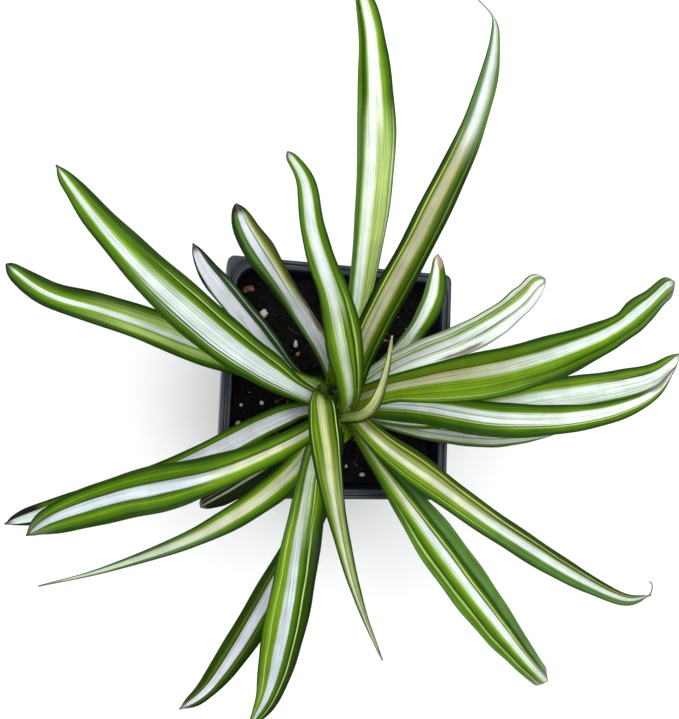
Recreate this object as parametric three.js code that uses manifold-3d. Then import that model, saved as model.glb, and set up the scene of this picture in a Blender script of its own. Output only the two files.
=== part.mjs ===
// A variegated spider plant in a square nursery pot: arching blades that rise from one crown in the soil.
// Millimetres, +Z up. The origin is the middle of the pot's underside. +X is right and +Y is the back.

import * as THREE from 'three';
import { mergeVertices } from 'three/addons/utils/BufferGeometryUtils.js';
import Module from 'manifold-3d';

const wasm = await Module();
wasm.setup();

// Room left between two pieces that touch.
const GAP = 0.3;

// Pot: thin moulded plastic, a square that narrows towards its base, with a turned-down rim.
const POT_HEIGHT = 90;
const RIM_HALF = 50;
const RIM_CORNER = 3.2;
const RIM_DEPTH = 12;
const RIM_THICK = 1.4;
const RIM_PLATE = 2;
const RIM_DRAFT = 0.4;
const MOUTH_HALF = 47;
const MOUTH_CORNER = 9.5;
const BASE_HALF = 37;
const BASE_CORNER = 6;
const WALL = 1.4;
const FLOOR = 1.8;
const CORNER_STEPS = 5;

// Groove round the rim's top, which sets off a bead with rounder corners, and the gap in that bead.
const GROOVE_HALF = 47.9;
const GROOVE_CORNER = 10.7;
const GROOVE_WIDE = 0.6;
const GROOVE_DEEP = 0.8;
const NICK_SIZE = [3.2, 1.3, 1.2];
const NICK_PLACE = [46.2, 36.5, 90];

// Drain holes in the floor, at the corners and the middles of the sides.
const DRAIN_RADIUS = 4;
const DRAIN_REACH = 25;
const DRAIN_SIDES = 12;

// Soil: peat with crumbs of bark, a little below the rim and heaped towards the crown.
const SOIL_LEVEL = 80.5;
const SOIL_HEAP = 3;
const SOIL_LUMP = 0.9;
const SOIL_CELLS = 17;
const CRUMBS = 26;
const CRUMB_SMALL = 1.2;
const CRUMB_LARGE = 3;
const CRUMB_CLEAR = 19;
const CRUMB_SEED = 41;

// Crown: the short bundle of leaf bases, from its root end up to the growing point, as [radius, height].
const CROWN_X = 0;
const CROWN_Y = -10;
const CROWN_PROFILE = [[5, 73], [8, 78], [9.2, 84], [7.8, 90], [5.4, 96], [3, 101]];
const CROWN_TOP = 104;
const CROWN_SIDES = 24;
const CROWN_RIDGES = 6;
const CROWN_RIDGE_SHARE = 0.07;

// Blades: a channel folded along the midrib, deepest at the foot. FOLD is the usual rise of its wings, in
// degrees, there and at the tip. TIP_REACH is the least that a margin stands off the midrib.
const LEAF_THICK = 0.7;
const LEAF_STATIONS = 17;
const LEAF_CELLS = 4;
const FOLD = [28, 12];
const TIP_REACH = 0.4;

// The leaves, from the topmost down, so a leaf gives way to those before it. midrib lists the points that its
// midrib passes, from inside the crown to the tip. margins lists how far it reaches to the left and right of the
// midrib, seen from above and looking out along the leaf, as [share of the length, left, right]. fold, in degrees
// at the foot and at the tip, is the rise of its two wings, which droop where it is less than zero.
const LEAVES = {
  leaf_centre_young: {
    fold: [40, 20],
    margins: [
      [0, 2, 2], [0.21, 2.2, 2.2], [0.36, 2.9, 2.9], [0.48, 2.8, 2.8], [0.63, 2, 2], [0.81, 1.2, 1.2],
      [0.92, 0.7, 0.7], [1, 0.3, 0.3],
    ],
    midrib: [
      [-4, -16, 90], [-0.7, -15.3, 104], [2.8, -13.7, 112], [4.9, -10, 120], [5.6, -3.7, 128],
      [5.1, 4.4, 137], [3.7, 14.1, 146],
    ],
  },
  leaf_centre_top: {
    margins: [
      [0, 6.2, 6.4], [0.1, 6.5, 6.2], [0.2, 6.3, 5.3], [0.3, 6.4, 5.1], [0.4, 7.1, 6], [0.5, 6.9, 5.7],
      [0.6, 5.5, 4.9],
      [0.66, 5.6, 4.3], [0.75, 4.6, 4], [0.85, 3.6, 3.6], [0.92, 2.6, 2.8], [0.97, 2, 2], [1, 1.2, 1.3],
    ],
    midrib: [
      [1.5, -13, 97], [-0.5, -6, 112], [-15, 21, 143], [-28.4, 45.8, 157], [-32, 61.4, 158], [-37.3, 72.7, 152.6],
    ],
  },
  leaf_front_narrow: {
    fold: [22, 10],
    margins: [
      [0, 4, 4], [0.1, 4.6, 5], [0.18, 5.8, 6.4], [0.27, 6.6, 7], [0.36, 5.6, 6.6], [0.45, 4.3, 5.9],
      [0.54, 3.4, 4.1],
      [0.64, 2.9, 2.3], [0.73, 2.4, 1.4], [0.82, 1.5, 1], [0.91, 0.9, 0.6], [1, 0.3, 0.3],
    ],
    midrib: [
      [-5, -3.5, 84], [-8, -4, 91], [-14.4, -9, 112], [-15.5, -28, 135], [-14, -48, 146], [-9, -67, 146],
      [-1, -84, 139], [10, -103, 128],
    ],
  },
  leaf_back_right_long: {
    margins: [
      [0, 4.5, 4.5], [0.1, 5.6, 5.4], [0.2, 6.2, 6], [0.3, 6.4, 6.1], [0.4, 5.6, 6.4], [0.5, 5.4, 6.2],
      [0.6, 4.7, 5.6],
      [0.7, 3.9, 4.6], [0.8, 3.1, 3.9], [0.87, 2, 2.7], [0.91, 1.3, 1.8], [0.945, 0.35, 0.5], [1, 0.3, 0.3],
    ],
    midrib: [[0, -10, 97], [1, 13, 119], [14, 54, 146], [31, 95, 150], [42, 131, 142], [42.8, 142.5, 138.5], [38.1, 149.4, 136]],
  },
  leaf_back_left_long: {
    margins: [
      [0, 3.6, 3.4], [0.1, 4.2, 3.4], [0.2, 5, 3.8], [0.3, 6.2, 5.3], [0.4, 7.4, 7.1], [0.5, 8, 7.9],
      [0.6, 7.2, 7.6],
      [0.7, 5.6, 6.5], [0.8, 4.9, 5.1], [0.9, 3.4, 3.7], [0.95, 2.6, 2.5], [1, 0.3, 0.5],
    ],
    midrib: [[0, -10, 96], [-16, -7, 107], [-45, 5, 129], [-79, 29, 141], [-97.3, 47.8, 136], [-113.5, 69, 121.5]],
  },
  leaf_right_long: {
    fold: [30, -36],
    margins: [
      [0, 5, 4], [0.1, 5.6, 4.4], [0.15, 6.1, 5], [0.2, 6.4, 6.8], [0.3, 8.5, 8.9], [0.4, 8.8, 9],
      [0.5, 8.3, 8.7],
      [0.6, 7, 7.1], [0.68, 5.6, 6.3], [0.71, 5.5, 6.4], [0.75, 6.5, 6.7], [0.8, 6.3, 6.1], [0.86, 5.2, 5.4],
      [0.92, 4.6, 5], [0.97, 4.2, 4.4], [1, 2, 2],
    ],
    midrib: [
      [0, -10, 96], [17, -3, 118], [52, 5, 138], [93, 20, 138], [120, 35, 129], [140, 47, 118], [149, 50.4, 112],
    ],
  },
  leaf_left_broad: {
    margins: [
      [0, 3.4, 3.4], [0.1, 3.7, 3.9], [0.2, 4.1, 4.5], [0.3, 4.7, 5.1], [0.4, 4.8, 6.1], [0.5, 5.8, 7.4],
      [0.56, 7.2, 7.7], [0.62, 8.2, 7.5], [0.7, 7.9, 6.4], [0.8, 6.7, 5.7], [0.9, 4.3, 3.9], [0.95, 2.4, 2.4],
      [1, 0.4, 0.4],
    ],
    midrib: [
      [0, -10, 95], [-19, -22, 112], [-56, -37, 132], [-84, -43, 134], [-107, -53, 121],
      [-117, -61, 107],
    ],
  },
  leaf_front_right_upper: {
    margins: [
      [0, 3.5, 3.5], [0.1, 4.7, 4], [0.2, 6.4, 5.4], [0.26, 6.6, 6.1], [0.35, 5.7, 5.8], [0.5, 5.3, 5.1],
      [0.6, 5, 5],
      [0.7, 4.3, 4.1], [0.8, 3.4, 3], [0.88, 2.7, 2.4], [0.94, 1.6, 1.5], [0.98, 0.5, 0.5], [1, 0.3, 0.3],
    ],
    midrib: [
      [0, -10, 95], [13, -26, 109], [33, -41, 121], [57, -57, 127], [96, -78, 125], [119.5, -87, 119],
      [137, -87.4, 112],
    ],
  },
  leaf_front_long: {
    margins: [
      [0, 4.4, 4], [0.2, 5.4, 4.4], [0.3, 6.2, 4.7], [0.4, 7.6, 5.2], [0.5, 7.8, 6.6], [0.6, 7.3, 8],
      [0.7, 6.6, 8],
      [0.8, 5.6, 6.3], [0.9, 3.9, 3.3], [0.95, 2.4, 1.6], [1, 0.4, 0.4],
    ],
    midrib: [
      [0, -10, 94], [-14, -27, 111], [-23, -53, 130], [-27, -84, 133], [-30, -115, 120],
      [-36, -133, 109],
    ],
  },
  leaf_back_tall: {
    margins: [
      [0, 3.4, 3.4], [0.2, 4.2, 3.4], [0.3, 5.3, 5], [0.4, 5.7, 6.8], [0.5, 6.8, 7.6], [0.56, 7.5, 7.9],
      [0.62, 8, 7.7], [0.7, 7.1, 8.1], [0.8, 5.6, 7.5], [0.9, 4, 5.7], [0.96, 2.3, 3.3], [1, 0.3, 0.3],
    ],
    midrib: [[0, -10, 93], [-1, 17, 112], [-2, 54, 129], [-2, 92, 135], [-3, 132, 128], [-6, 164, 115]],
  },
  leaf_right_upper: {
    fold: [30, -36],
    margins: [
      [0, 4, 2.6], [0.1, 5, 2.6], [0.2, 5.9, 2.8], [0.3, 5.6, 4], [0.4, 6, 5.3], [0.5, 5.7, 6.6],
      [0.6, 5.2, 7.3],
      [0.7, 5.2, 6.7], [0.8, 5.9, 5.6], [0.87, 5, 4.6], [0.95, 3.9, 3.8], [1, 1.6, 1.6],
    ],
    midrib: [[0, -10, 92], [18, 6, 109], [41, 18, 121], [68, 35, 119], [79, 44.5, 113], [86, 47.2, 107]],
  },
  leaf_back_left_inner: {
    margins: [
      [0, 4, 4], [0.2, 3.6, 3.8], [0.3, 3.4, 3.6], [0.4, 3.6, 4.4], [0.5, 3.6, 4.2], [0.6, 4.2, 4.5],
      [0.7, 5.1, 5.3],
      [0.8, 5.7, 5.8], [0.9, 4.6, 4.4], [0.95, 3.3, 3.3], [1, 1.2, 1.2],
    ],
    midrib: [[0, -10, 92], [-10, 8, 103], [-30.2, 30.7, 120], [-45.4, 50.4, 123], [-50.5, 63, 119]],
  },
  leaf_right_swept: {
    margins: [
      [0, 3.6, 4.6], [0.1, 4, 6], [0.2, 4.8, 7], [0.3, 6.6, 7.5], [0.4, 7, 7.1], [0.5, 6.4, 6.1],
      [0.6, 5.3, 5.4],
      [0.7, 4, 4.9], [0.8, 2.9, 4], [0.9, 2.1, 2.1], [0.95, 1.3, 1.2], [1, 0.3, 0.3],
    ],
    midrib: [[0, -10, 92], [29, -10, 108], [60, -14, 118], [100, -11, 119], [140, 1, 110], [158, 14, 102]],
  },
  leaf_front_left_thin: {
    margins: [
      [0, 4, 4], [0.1, 5, 4.8], [0.2, 5.8, 5.3], [0.3, 6, 5.4], [0.4, 5.1, 5.2], [0.5, 4.3, 4.5],
      [0.6, 3.1, 3.4],
      [0.7, 2.2, 2.2], [0.8, 1.4, 1.2], [0.9, 0.8, 0.5], [1, 0.3, 0.3],
    ],
    midrib: [[0, -10, 91], [-25, -39, 108], [-53, -57, 118], [-86, -70, 117], [-112, -79, 106]],
  },
  leaf_left_under: {
    margins: [
      [0, 4.5, 4.5], [0.2, 5.5, 5.5], [0.4, 6.9, 6], [0.5, 7, 6.5], [0.6, 5.8, 6.6], [0.7, 5.6, 6], [0.8, 5, 5],
      [0.88, 4.4, 4.4], [0.95, 3.6, 2.9], [1, 1.4, 1.6],
    ],
    midrib: [[0, -10, 90], [-19, -1, 99], [-55, 8, 112], [-94, 19, 118], [-115, 25, 113], [-131, 36, 103]],
  },
  leaf_front_right_lower: {
    fold: [30, -34],
    margins: [
      [0, 2, 2.4], [0.1, 2.2, 2.8], [0.2, 3.6, 4.2], [0.3, 6.7, 6.4], [0.4, 8.6, 8.7], [0.5, 8.8, 9],
      [0.6, 8.5, 8.8],
      [0.7, 7.3, 8], [0.8, 5.9, 6.4], [0.88, 5, 4.8], [0.95, 3.9, 3.7], [1, 1.8, 1.8],
    ],
    midrib: [
      [0, -10, 90], [10, -28, 101], [28, -54, 112], [50.4, -82.5, 117], [84, -117, 106], [95, -126, 97.5],
      [99, -128.4, 93],
    ],
  },
  leaf_left_behind: {
    margins: [
      [0, 2.4, 2.6], [0.15, 3.4, 3.8], [0.2, 4.6, 4.1], [0.3, 5.3, 4.2], [0.5, 5.4, 4], [0.7, 5.2, 3.9],
      [0.85, 4.2, 3.8], [0.92, 3.1, 3.4], [0.97, 1.5, 2], [1, 0.3, 0.3],
    ],
    midrib: [[0, -10, 89], [-25, -15, 101], [-69, -36, 117], [-112, -53, 105], [-126.4, -58.8, 96]],
  },
  leaf_back_left_short: {
    margins: [
      [0, 4, 4], [0.3, 4.6, 4.9], [0.4, 5, 5.9], [0.5, 5.3, 5.9], [0.6, 5, 5.4], [0.7, 4.6, 4.8],
      [0.8, 4.8, 4.8],
      [0.86, 4.1, 4], [0.92, 3, 3], [0.96, 2, 2], [1, 0.4, 0.4],
    ],
    midrib: [[0, -10, 88], [-25, 4, 99], [-49, 27, 111], [-59.5, 39.2, 110], [-65, 49, 108]],
  },
  leaf_back_right_dry: {
    margins: [
      [0, 3, 3], [0.3, 3.2, 3.4], [0.5, 3.4, 3.7], [0.6, 3.8, 4.3], [0.7, 4.6, 4.7], [0.8, 4.3, 4.6],
      [0.9, 2.7, 3.6],
      [0.96, 2, 2.4], [1, 0.8, 1],
    ],
    midrib: [[0, -10, 88], [22, 14, 103], [31, 33, 113], [35, 54, 109]],
  },
  leaf_right_lower: {
    margins: [
      [0, 5, 5], [0.2, 6, 6], [0.45, 7, 7], [0.6, 6.9, 7.5], [0.75, 6.3, 7.2], [0.85, 5.3, 6.3], [0.93, 4, 4.6],
      [1, 0.4, 0.4],
    ],
    midrib: [[0, -10, 88], [33, -13, 100], [79, -4, 109], [123, 3.7, 106], [148, 10.5, 101], [166.5, 21, 95]],
  },
  leaf_front_left_under: {
    margins: [
      [0, 3.6, 3.6], [0.25, 5, 4.6], [0.5, 6.6, 5.2], [0.6, 7, 5.3], [0.7, 6.9, 5.5], [0.8, 5.5, 5.4],
      [0.9, 3.8, 3.8],
      [0.95, 2.9, 2.6], [1, 0.4, 0.4],
    ],
    midrib: [
      [0, -10, 88], [-8, -45, 98], [-30, -82, 108], [-46, -113, 102], [-52, -122.2, 98],
      [-60, -130, 93],
    ],
  },
  leaf_right_pale: {
    margins: [
      [0, 3, 3], [0.2, 4, 3.6], [0.4, 4.8, 4.6], [0.6, 5, 5], [0.7, 4.7, 4.6], [0.8, 3.8, 3.7], [0.9, 2.6, 2.5],
      [1, 0.6, 0.8],
    ],
    midrib: [[0, -10, 87], [29, -18, 96], [61, -21, 102], [100, -19, 95]],
  },
  leaf_left_shaded: {
    margins: [
      [0, 3.4, 3.4], [0.3, 4.8, 4], [0.5, 5, 2.8], [0.7, 5, 2.8], [0.85, 4.2, 3], [0.95, 2.6, 3.2],
      [1, 0.9, 2],
    ],
    midrib: [[0, -10, 87], [-21, -29, 95], [-43, -44, 98], [-56, -53, 92]],
  },
};

const UP = new THREE.Vector3(0, 0, 1);

// Repeatable random numbers from 0 to 1.
function seededRandom(seed) {
  let state = seed;
  return () => {
    state = (state * 16807) % 2147483647;
    return state / 2147483647;
  };
}

// A closed mesh as a solid that can be joined and cut.
function toSolid(geometry) {
  const bare = geometry.clone();
  bare.deleteAttribute('normal');
  bare.deleteAttribute('uv');
  const merged = mergeVertices(bare, 1e-4);
  return new wasm.Manifold(new wasm.Mesh({
    numProp: 3,
    vertProperties: new Float32Array(merged.attributes.position.array),
    triVerts: new Uint32Array(merged.index.array),
  }));
}

function toGeometry(solid) {
  const mesh = solid.getMesh();
  const geometry = new THREE.BufferGeometry();
  geometry.setAttribute('position', new THREE.BufferAttribute(mesh.vertProperties, 3));
  geometry.setIndex(new THREE.BufferAttribute(mesh.triVerts, 1));
  geometry.computeVertexNormals();
  return geometry;
}

function indexedGeometry(points, triangles) {
  const geometry = new THREE.BufferGeometry().setFromPoints(points);
  geometry.setIndex(triangles.flat());
  return geometry;
}

// The largest of the bodies that a cut leaves: the loose scraps round a leaf's foot are dropped.
function largestBody(solid) {
  return solid.decompose().reduce((best, body) => (body.volume() > best.volume() ? body : best));
}

// One level of the pot: a square of the given half side with rounded corners.
function squareRing(half, corner, z) {
  const points = [];
  for (let side = 0; side < 4; side += 1) {
    const start = (side * Math.PI) / 2;
    const centre = new THREE.Vector2(half - corner, half - corner).rotateAround(new THREE.Vector2(), start);
    for (let step = 0; step <= CORNER_STEPS; step += 1) {
      const angle = start + ((step / CORNER_STEPS) * Math.PI) / 2;
      points.push(new THREE.Vector3(
        centre.x + corner * Math.cos(angle),
        centre.y + corner * Math.sin(angle),
        z,
      ));
    }
  }
  return points;
}

// A solid through two or more level rings, from the lowest up, closed by flat ends.
function loft(rings) {
  const count = rings[0].length;
  const points = rings.flat();
  const triangles = [];
  for (let level = 0; level + 1 < rings.length; level += 1) {
    for (let i = 0; i < count; i += 1) {
      const low = level * count + i;
      const next = level * count + ((i + 1) % count);
      triangles.push([low, next, next + count], [low, next + count, low + count]);
    }
  }
  const bottom = points.length;
  const top = bottom + 1;
  const topStart = (rings.length - 1) * count;
  points.push(new THREE.Vector3(0, 0, rings[0][0].z));
  points.push(new THREE.Vector3(0, 0, rings[rings.length - 1][0].z));
  for (let i = 0; i < count; i += 1) {
    const next = (i + 1) % count;
    triangles.push([bottom, next, i], [top, topStart + i, topStart + next]);
  }
  return toSolid(indexedGeometry(points, triangles));
}

// The space inside the pot's wall, which the soil fills a little less of.
function potInside(clearance) {
  const lift = FLOOR + clearance;
  const slope = (MOUTH_HALF - BASE_HALF) / POT_HEIGHT;
  const inset = WALL + clearance;
  return loft([
    squareRing(BASE_HALF + slope * lift - inset, BASE_CORNER - WALL, lift),
    squareRing(MOUTH_HALF + slope - inset, MOUTH_CORNER - WALL, POT_HEIGHT + 1),
  ]);
}

function makePot() {
  const wall = loft([
    squareRing(BASE_HALF, BASE_CORNER, 0),
    squareRing(MOUTH_HALF, MOUTH_CORNER, POT_HEIGHT),
  ]);
  const skirtFoot = POT_HEIGHT - RIM_DEPTH;
  const skirt = loft([
    squareRing(RIM_HALF - RIM_DRAFT, RIM_CORNER, skirtFoot),
    squareRing(RIM_HALF, RIM_CORNER, POT_HEIGHT),
  ]);
  const underRim = loft([
    squareRing(RIM_HALF - RIM_DRAFT - RIM_THICK, RIM_CORNER - RIM_THICK, skirtFoot - 1),
    squareRing(RIM_HALF - RIM_THICK, RIM_CORNER - RIM_THICK, POT_HEIGHT - RIM_PLATE),
  ]);
  const grooveFloor = POT_HEIGHT - GROOVE_DEEP;
  const groove = loft([
    squareRing(GROOVE_HALF, GROOVE_CORNER, grooveFloor),
    squareRing(GROOVE_HALF, GROOVE_CORNER, POT_HEIGHT + 1),
  ]).subtract(loft([
    squareRing(GROOVE_HALF - GROOVE_WIDE, GROOVE_CORNER - GROOVE_WIDE, grooveFloor - 1),
    squareRing(GROOVE_HALF - GROOVE_WIDE, GROOVE_CORNER - GROOVE_WIDE, POT_HEIGHT + 2),
  ]));
  const nick = toSolid(new THREE.BoxGeometry(...NICK_SIZE).translate(...NICK_PLACE));
  let pot = skirt.subtract(underRim).add(wall);
  pot = pot.subtract(potInside(0)).subtract(groove).subtract(nick);
  for (let i = 0; i < 8; i += 1) {
    const angle = (i * Math.PI) / 4;
    const reach = DRAIN_REACH * (i % 2 ? 1.3 : 1);
    const hole = new THREE.CylinderGeometry(DRAIN_RADIUS, DRAIN_RADIUS, 4 * FLOOR, DRAIN_SIDES);
    hole.rotateX(Math.PI / 2).translate(reach * Math.cos(angle), reach * Math.sin(angle), 0);
    pot = pot.subtract(toSolid(hole));
  }
  return pot;
}

function crownDistance(x, y) {
  return Math.hypot(x - CROWN_X, y - CROWN_Y);
}

// Height of the soil's surface: heaped round the crown, with lumps from waves of unlike lengths.
function soilHeight(x, y) {
  const heap = SOIL_HEAP * Math.exp(-((crownDistance(x, y) / 26) ** 2));
  const lumps = Math.sin(x / 3.1 + 1) * Math.cos(y / 2.7) + 0.7 * Math.sin(x / 6.3 - y / 5.1);
  return SOIL_LEVEL + heap + SOIL_LUMP * lumps;
}

function makeSoil() {
  const side = 2 * MOUTH_HALF;
  const block = new THREE.BoxGeometry(side, side, 1, SOIL_CELLS, SOIL_CELLS, 1);
  const places = block.attributes.position;
  for (let i = 0; i < places.count; i += 1) {
    places.setZ(i, places.getZ(i) > 0 ? soilHeight(places.getX(i), places.getY(i)) : 0);
  }
  let soil = toSolid(block).intersect(potInside(GAP));
  const random = seededRandom(CRUMB_SEED);
  const spread = MOUTH_HALF - WALL - CRUMB_LARGE - 2;
  let placed = 0;
  while (placed < CRUMBS) {
    const x = (2 * random() - 1) * spread;
    const y = (2 * random() - 1) * spread;
    const size = CRUMB_SMALL + (CRUMB_LARGE - CRUMB_SMALL) * random() ** 2;
    const turn = new THREE.Euler(random() * 3, random() * 3, random() * 3);
    if (crownDistance(x, y) > CRUMB_CLEAR) {
      const crumb = new THREE.IcosahedronGeometry(size, 0).scale(1, 0.7, 0.6);
      crumb.applyMatrix4(new THREE.Matrix4().makeRotationFromEuler(turn));
      crumb.translate(x, y, soilHeight(x, y));
      soil = soil.add(toSolid(crumb));
      placed += 1;
    }
  }
  return soil.subtract(makeCrown(GAP));
}

// The crown, or the same shape grown all round to cut its neighbours.
function makeCrown(grow) {
  const profile = CROWN_PROFILE.map(([radius, z]) => new THREE.Vector2(radius + grow, z));
  profile.unshift(new THREE.Vector2(0, CROWN_PROFILE[0][1] - 2 - grow));
  profile.push(new THREE.Vector2(0, CROWN_TOP + grow));
  const body = new THREE.LatheGeometry(profile, CROWN_SIDES).rotateX(Math.PI / 2);
  const places = body.attributes.position;
  for (let i = 0; i < places.count; i += 1) {
    const angle = Math.atan2(places.getY(i), places.getX(i));
    const ridge = 1 + CROWN_RIDGE_SHARE * Math.cos(CROWN_RIDGES * angle);
    places.setXY(i, places.getX(i) * ridge + CROWN_X, places.getY(i) * ridge + CROWN_Y);
  }
  return toSolid(body);
}

// A value between a table's rows at share u, along a curve that bends smoothly from row to row.
function smoothValue(rows, u, index) {
  let next = 1;
  while (next < rows.length - 1 && rows[next][0] < u) {
    next += 1;
  }
  const slope = (from, to) => (rows[to][index] - rows[from][index]) / (rows[to][0] - rows[from][0]);
  const [low, high] = [rows[next - 1], rows[next]];
  const span = high[0] - low[0];
  const leave = span * slope(Math.max(next - 2, 0), next);
  const arrive = span * slope(next - 1, Math.min(next + 1, rows.length - 1));
  const t = (u - low[0]) / span;
  const ease = t * t * (3 - 2 * t);
  const bend = t * (1 - t) * (leave * (1 - t) - arrive * t);
  return low[index] + (high[index] - low[index]) * ease + bend;
}

// The blade's upper and lower points across one station, folded up on both sides of the midrib.
function leafSection(curve, leaf, u, grow) {
  const middle = curve.getPointAt(u);
  const along = curve.getTangentAt(u);
  const side = new THREE.Vector3().crossVectors(UP, along).normalize();
  const normal = new THREE.Vector3().crossVectors(along, side);
  const [foldFoot, foldTip] = leaf.fold ?? FOLD;
  const fold = THREE.MathUtils.degToRad(THREE.MathUtils.lerp(foldFoot, foldTip, u * u));
  const [left, right] = [1, 2].map((column) => Math.max(smoothValue(leaf.margins, u, column), TIP_REACH));
  const rise = (LEAF_THICK / 2 + grow) / Math.cos(fold);
  const upper = [];
  const lower = [];
  for (let i = 0; i <= LEAF_CELLS; i += 1) {
    const across = 1 - (2 * i) / LEAF_CELLS;
    const reach = across * ((across > 0 ? left : right) + grow);
    const point = middle.clone().addScaledVector(side, reach);
    point.addScaledVector(normal, Math.abs(reach) * Math.tan(fold));
    upper.push(point.clone().addScaledVector(normal, rise));
    lower.push(point.clone().addScaledVector(normal, -rise));
  }
  return { upper, lower };
}

// A whole blade. Its upper and lower faces are split into triangles alike, so they never cross.
function makeLeaf(leaf, grow) {
  const midrib = leaf.midrib.map((point) => new THREE.Vector3(...point));
  const curve = new THREE.CatmullRomCurve3(midrib, false, 'centripetal');
  const row = LEAF_CELLS + 1;
  const lowerStart = LEAF_STATIONS * row;
  const uppers = [];
  const lowers = [];
  for (let i = 0; i < LEAF_STATIONS; i += 1) {
    const { upper, lower } = leafSection(curve, leaf, i / (LEAF_STATIONS - 1), grow);
    uppers.push(...upper);
    lowers.push(...lower);
  }
  const triangles = [];
  const quad = (a, b, c, d) => triangles.push([a, b, c], [a, c, d]);
  for (let i = 0; i + 1 < LEAF_STATIONS; i += 1) {
    for (let j = 0; j < LEAF_CELLS; j += 1) {
      const near = i * row + j;
      const far = near + row;
      quad(near, near + 1, far + 1, far);
      triangles.push([lowerStart + near, lowerStart + far + 1, lowerStart + near + 1]);
      triangles.push([lowerStart + near, lowerStart + far, lowerStart + far + 1]);
    }
    const left = i * row;
    const right = left + LEAF_CELLS;
    quad(left, left + row, lowerStart + left + row, lowerStart + left);
    quad(right, lowerStart + right, lowerStart + right + row, right + row);
  }
  const last = (LEAF_STATIONS - 1) * row;
  for (let j = 0; j < LEAF_CELLS; j += 1) {
    quad(j, lowerStart + j, lowerStart + j + 1, j + 1);
    quad(last + j, last + j + 1, lowerStart + last + j + 1, lowerStart + last + j);
  }
  return toSolid(indexedGeometry([...uppers, ...lowers], triangles));
}

const blackPlastic = new THREE.MeshStandardMaterial({ color: 0x23262d, roughness: 0.42, metalness: 0 });
const darkPeat = new THREE.MeshStandardMaterial({ color: 0x1c1612, roughness: 0.95, metalness: 0 });
const paleSheath = new THREE.MeshStandardMaterial({ color: 0x9aa45f, roughness: 0.6, metalness: 0 });
const greenBlade = new THREE.MeshStandardMaterial({ color: 0x6f9a3c, roughness: 0.5, metalness: 0 });

const plant = new THREE.Group();

function addPiece(name, solid, material) {
  const mesh = new THREE.Mesh(toGeometry(solid), material);
  mesh.name = name;
  plant.add(mesh);
}

addPiece('pot', makePot(), blackPlastic);
addPiece('soil', makeSoil(), darkPeat);
addPiece('crown', makeCrown(0), paleSheath);

const crownRoom = makeCrown(GAP);
const rooms = [];
for (const [name, leaf] of Object.entries(LEAVES)) {
  let blade = makeLeaf(leaf, 0).subtract(crownRoom);
  for (const room of rooms) {
    blade = blade.subtract(room);
  }
  addPiece(name, largestBody(blade), greenBlade);
  rooms.push(makeLeaf(leaf, GAP));
}

export default plant;
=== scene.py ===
# %% [markdown]
# # A potted spider plant, seen from above
#
# The object is a young houseplant: long arching blades, green with a pale stripe, that all rise from one
# crown in a square plastic nursery pot. Its solids already exist, each blade at its real size and place.
# This lesson gives them the look of the real thing. It loads the solids as a fixed frame, and every piece
# made here stands for one of them and rides on the same body.

# %% Load the solids
import math
import random

import bmesh
import bpy
from mathutils import Matrix, Vector, geometry, noise


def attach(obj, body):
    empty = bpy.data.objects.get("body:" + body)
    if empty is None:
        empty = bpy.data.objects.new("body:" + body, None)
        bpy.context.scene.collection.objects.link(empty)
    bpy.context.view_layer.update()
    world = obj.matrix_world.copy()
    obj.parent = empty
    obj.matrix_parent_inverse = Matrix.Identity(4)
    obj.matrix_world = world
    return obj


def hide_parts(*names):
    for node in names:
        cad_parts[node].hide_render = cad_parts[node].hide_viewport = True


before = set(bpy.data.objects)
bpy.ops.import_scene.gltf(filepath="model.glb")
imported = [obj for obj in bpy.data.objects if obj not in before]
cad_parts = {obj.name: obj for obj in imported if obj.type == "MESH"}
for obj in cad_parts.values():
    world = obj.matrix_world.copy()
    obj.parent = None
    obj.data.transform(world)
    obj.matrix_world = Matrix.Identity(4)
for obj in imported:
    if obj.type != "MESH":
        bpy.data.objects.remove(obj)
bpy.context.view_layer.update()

MM = 0.001
print("solids:", sorted(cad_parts))

# %% [markdown]
# ## Where the camera stands
#
# The photograph is a close one, taken by hand over the pot's left side. A camera that is far away would
# flatten the plant, so the distance matters as much as the angle. It could be set by eye, but the four
# corners of the pot's rim are a square of known size, and only one place and tilt puts them where the
# photograph has them.

# %% The camera
CAMERA_PLACE = Vector((-74, -13, 378)) * MM
CAMERA_TURNS = (("Y", -14.27), ("X", 4.24), ("Z", 2.18))

lens = bpy.data.cameras.new("over_the_pot")
lens.lens = 35
lens.sensor_width = 36
lens.sensor_fit = "AUTO"
lens.clip_start = 0.01
camera = bpy.data.objects.new("over_the_pot", lens)
bpy.context.scene.collection.objects.link(camera)
camera.matrix_world = Matrix.Translation(CAMERA_PLACE)
for axis, degrees in CAMERA_TURNS:
    camera.matrix_world @= Matrix.Rotation(math.radians(degrees), 4, axis)
bpy.context.scene.camera = camera
print("camera at", [round(x, 3) for x in CAMERA_PLACE])

# %% [markdown]
# ## The studio
#
# Leaves are photographed best under a bright, cloudy sky, which has no hard shadows. Large softboxes do the
# same: a wide one overhead fills the plant down to its crown, one on the left gives the blades their
# direction, a weak one on the right opens the shadows, and a pale surrounding does the rest. The plain view
# transform keeps the greens as strong as the materials have them.

# %% Colours by name
def linear(red, green, blue):
    """A colour given as a screen shows it, 0 to 255, in the renderer's linear values."""
    shares = [part / 255 for part in (red, green, blue)]
    return [s / 12.92 if s <= 0.04045 else ((s + 0.055) / 1.055) ** 2.4 for s in shares] + [1.0]


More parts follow.
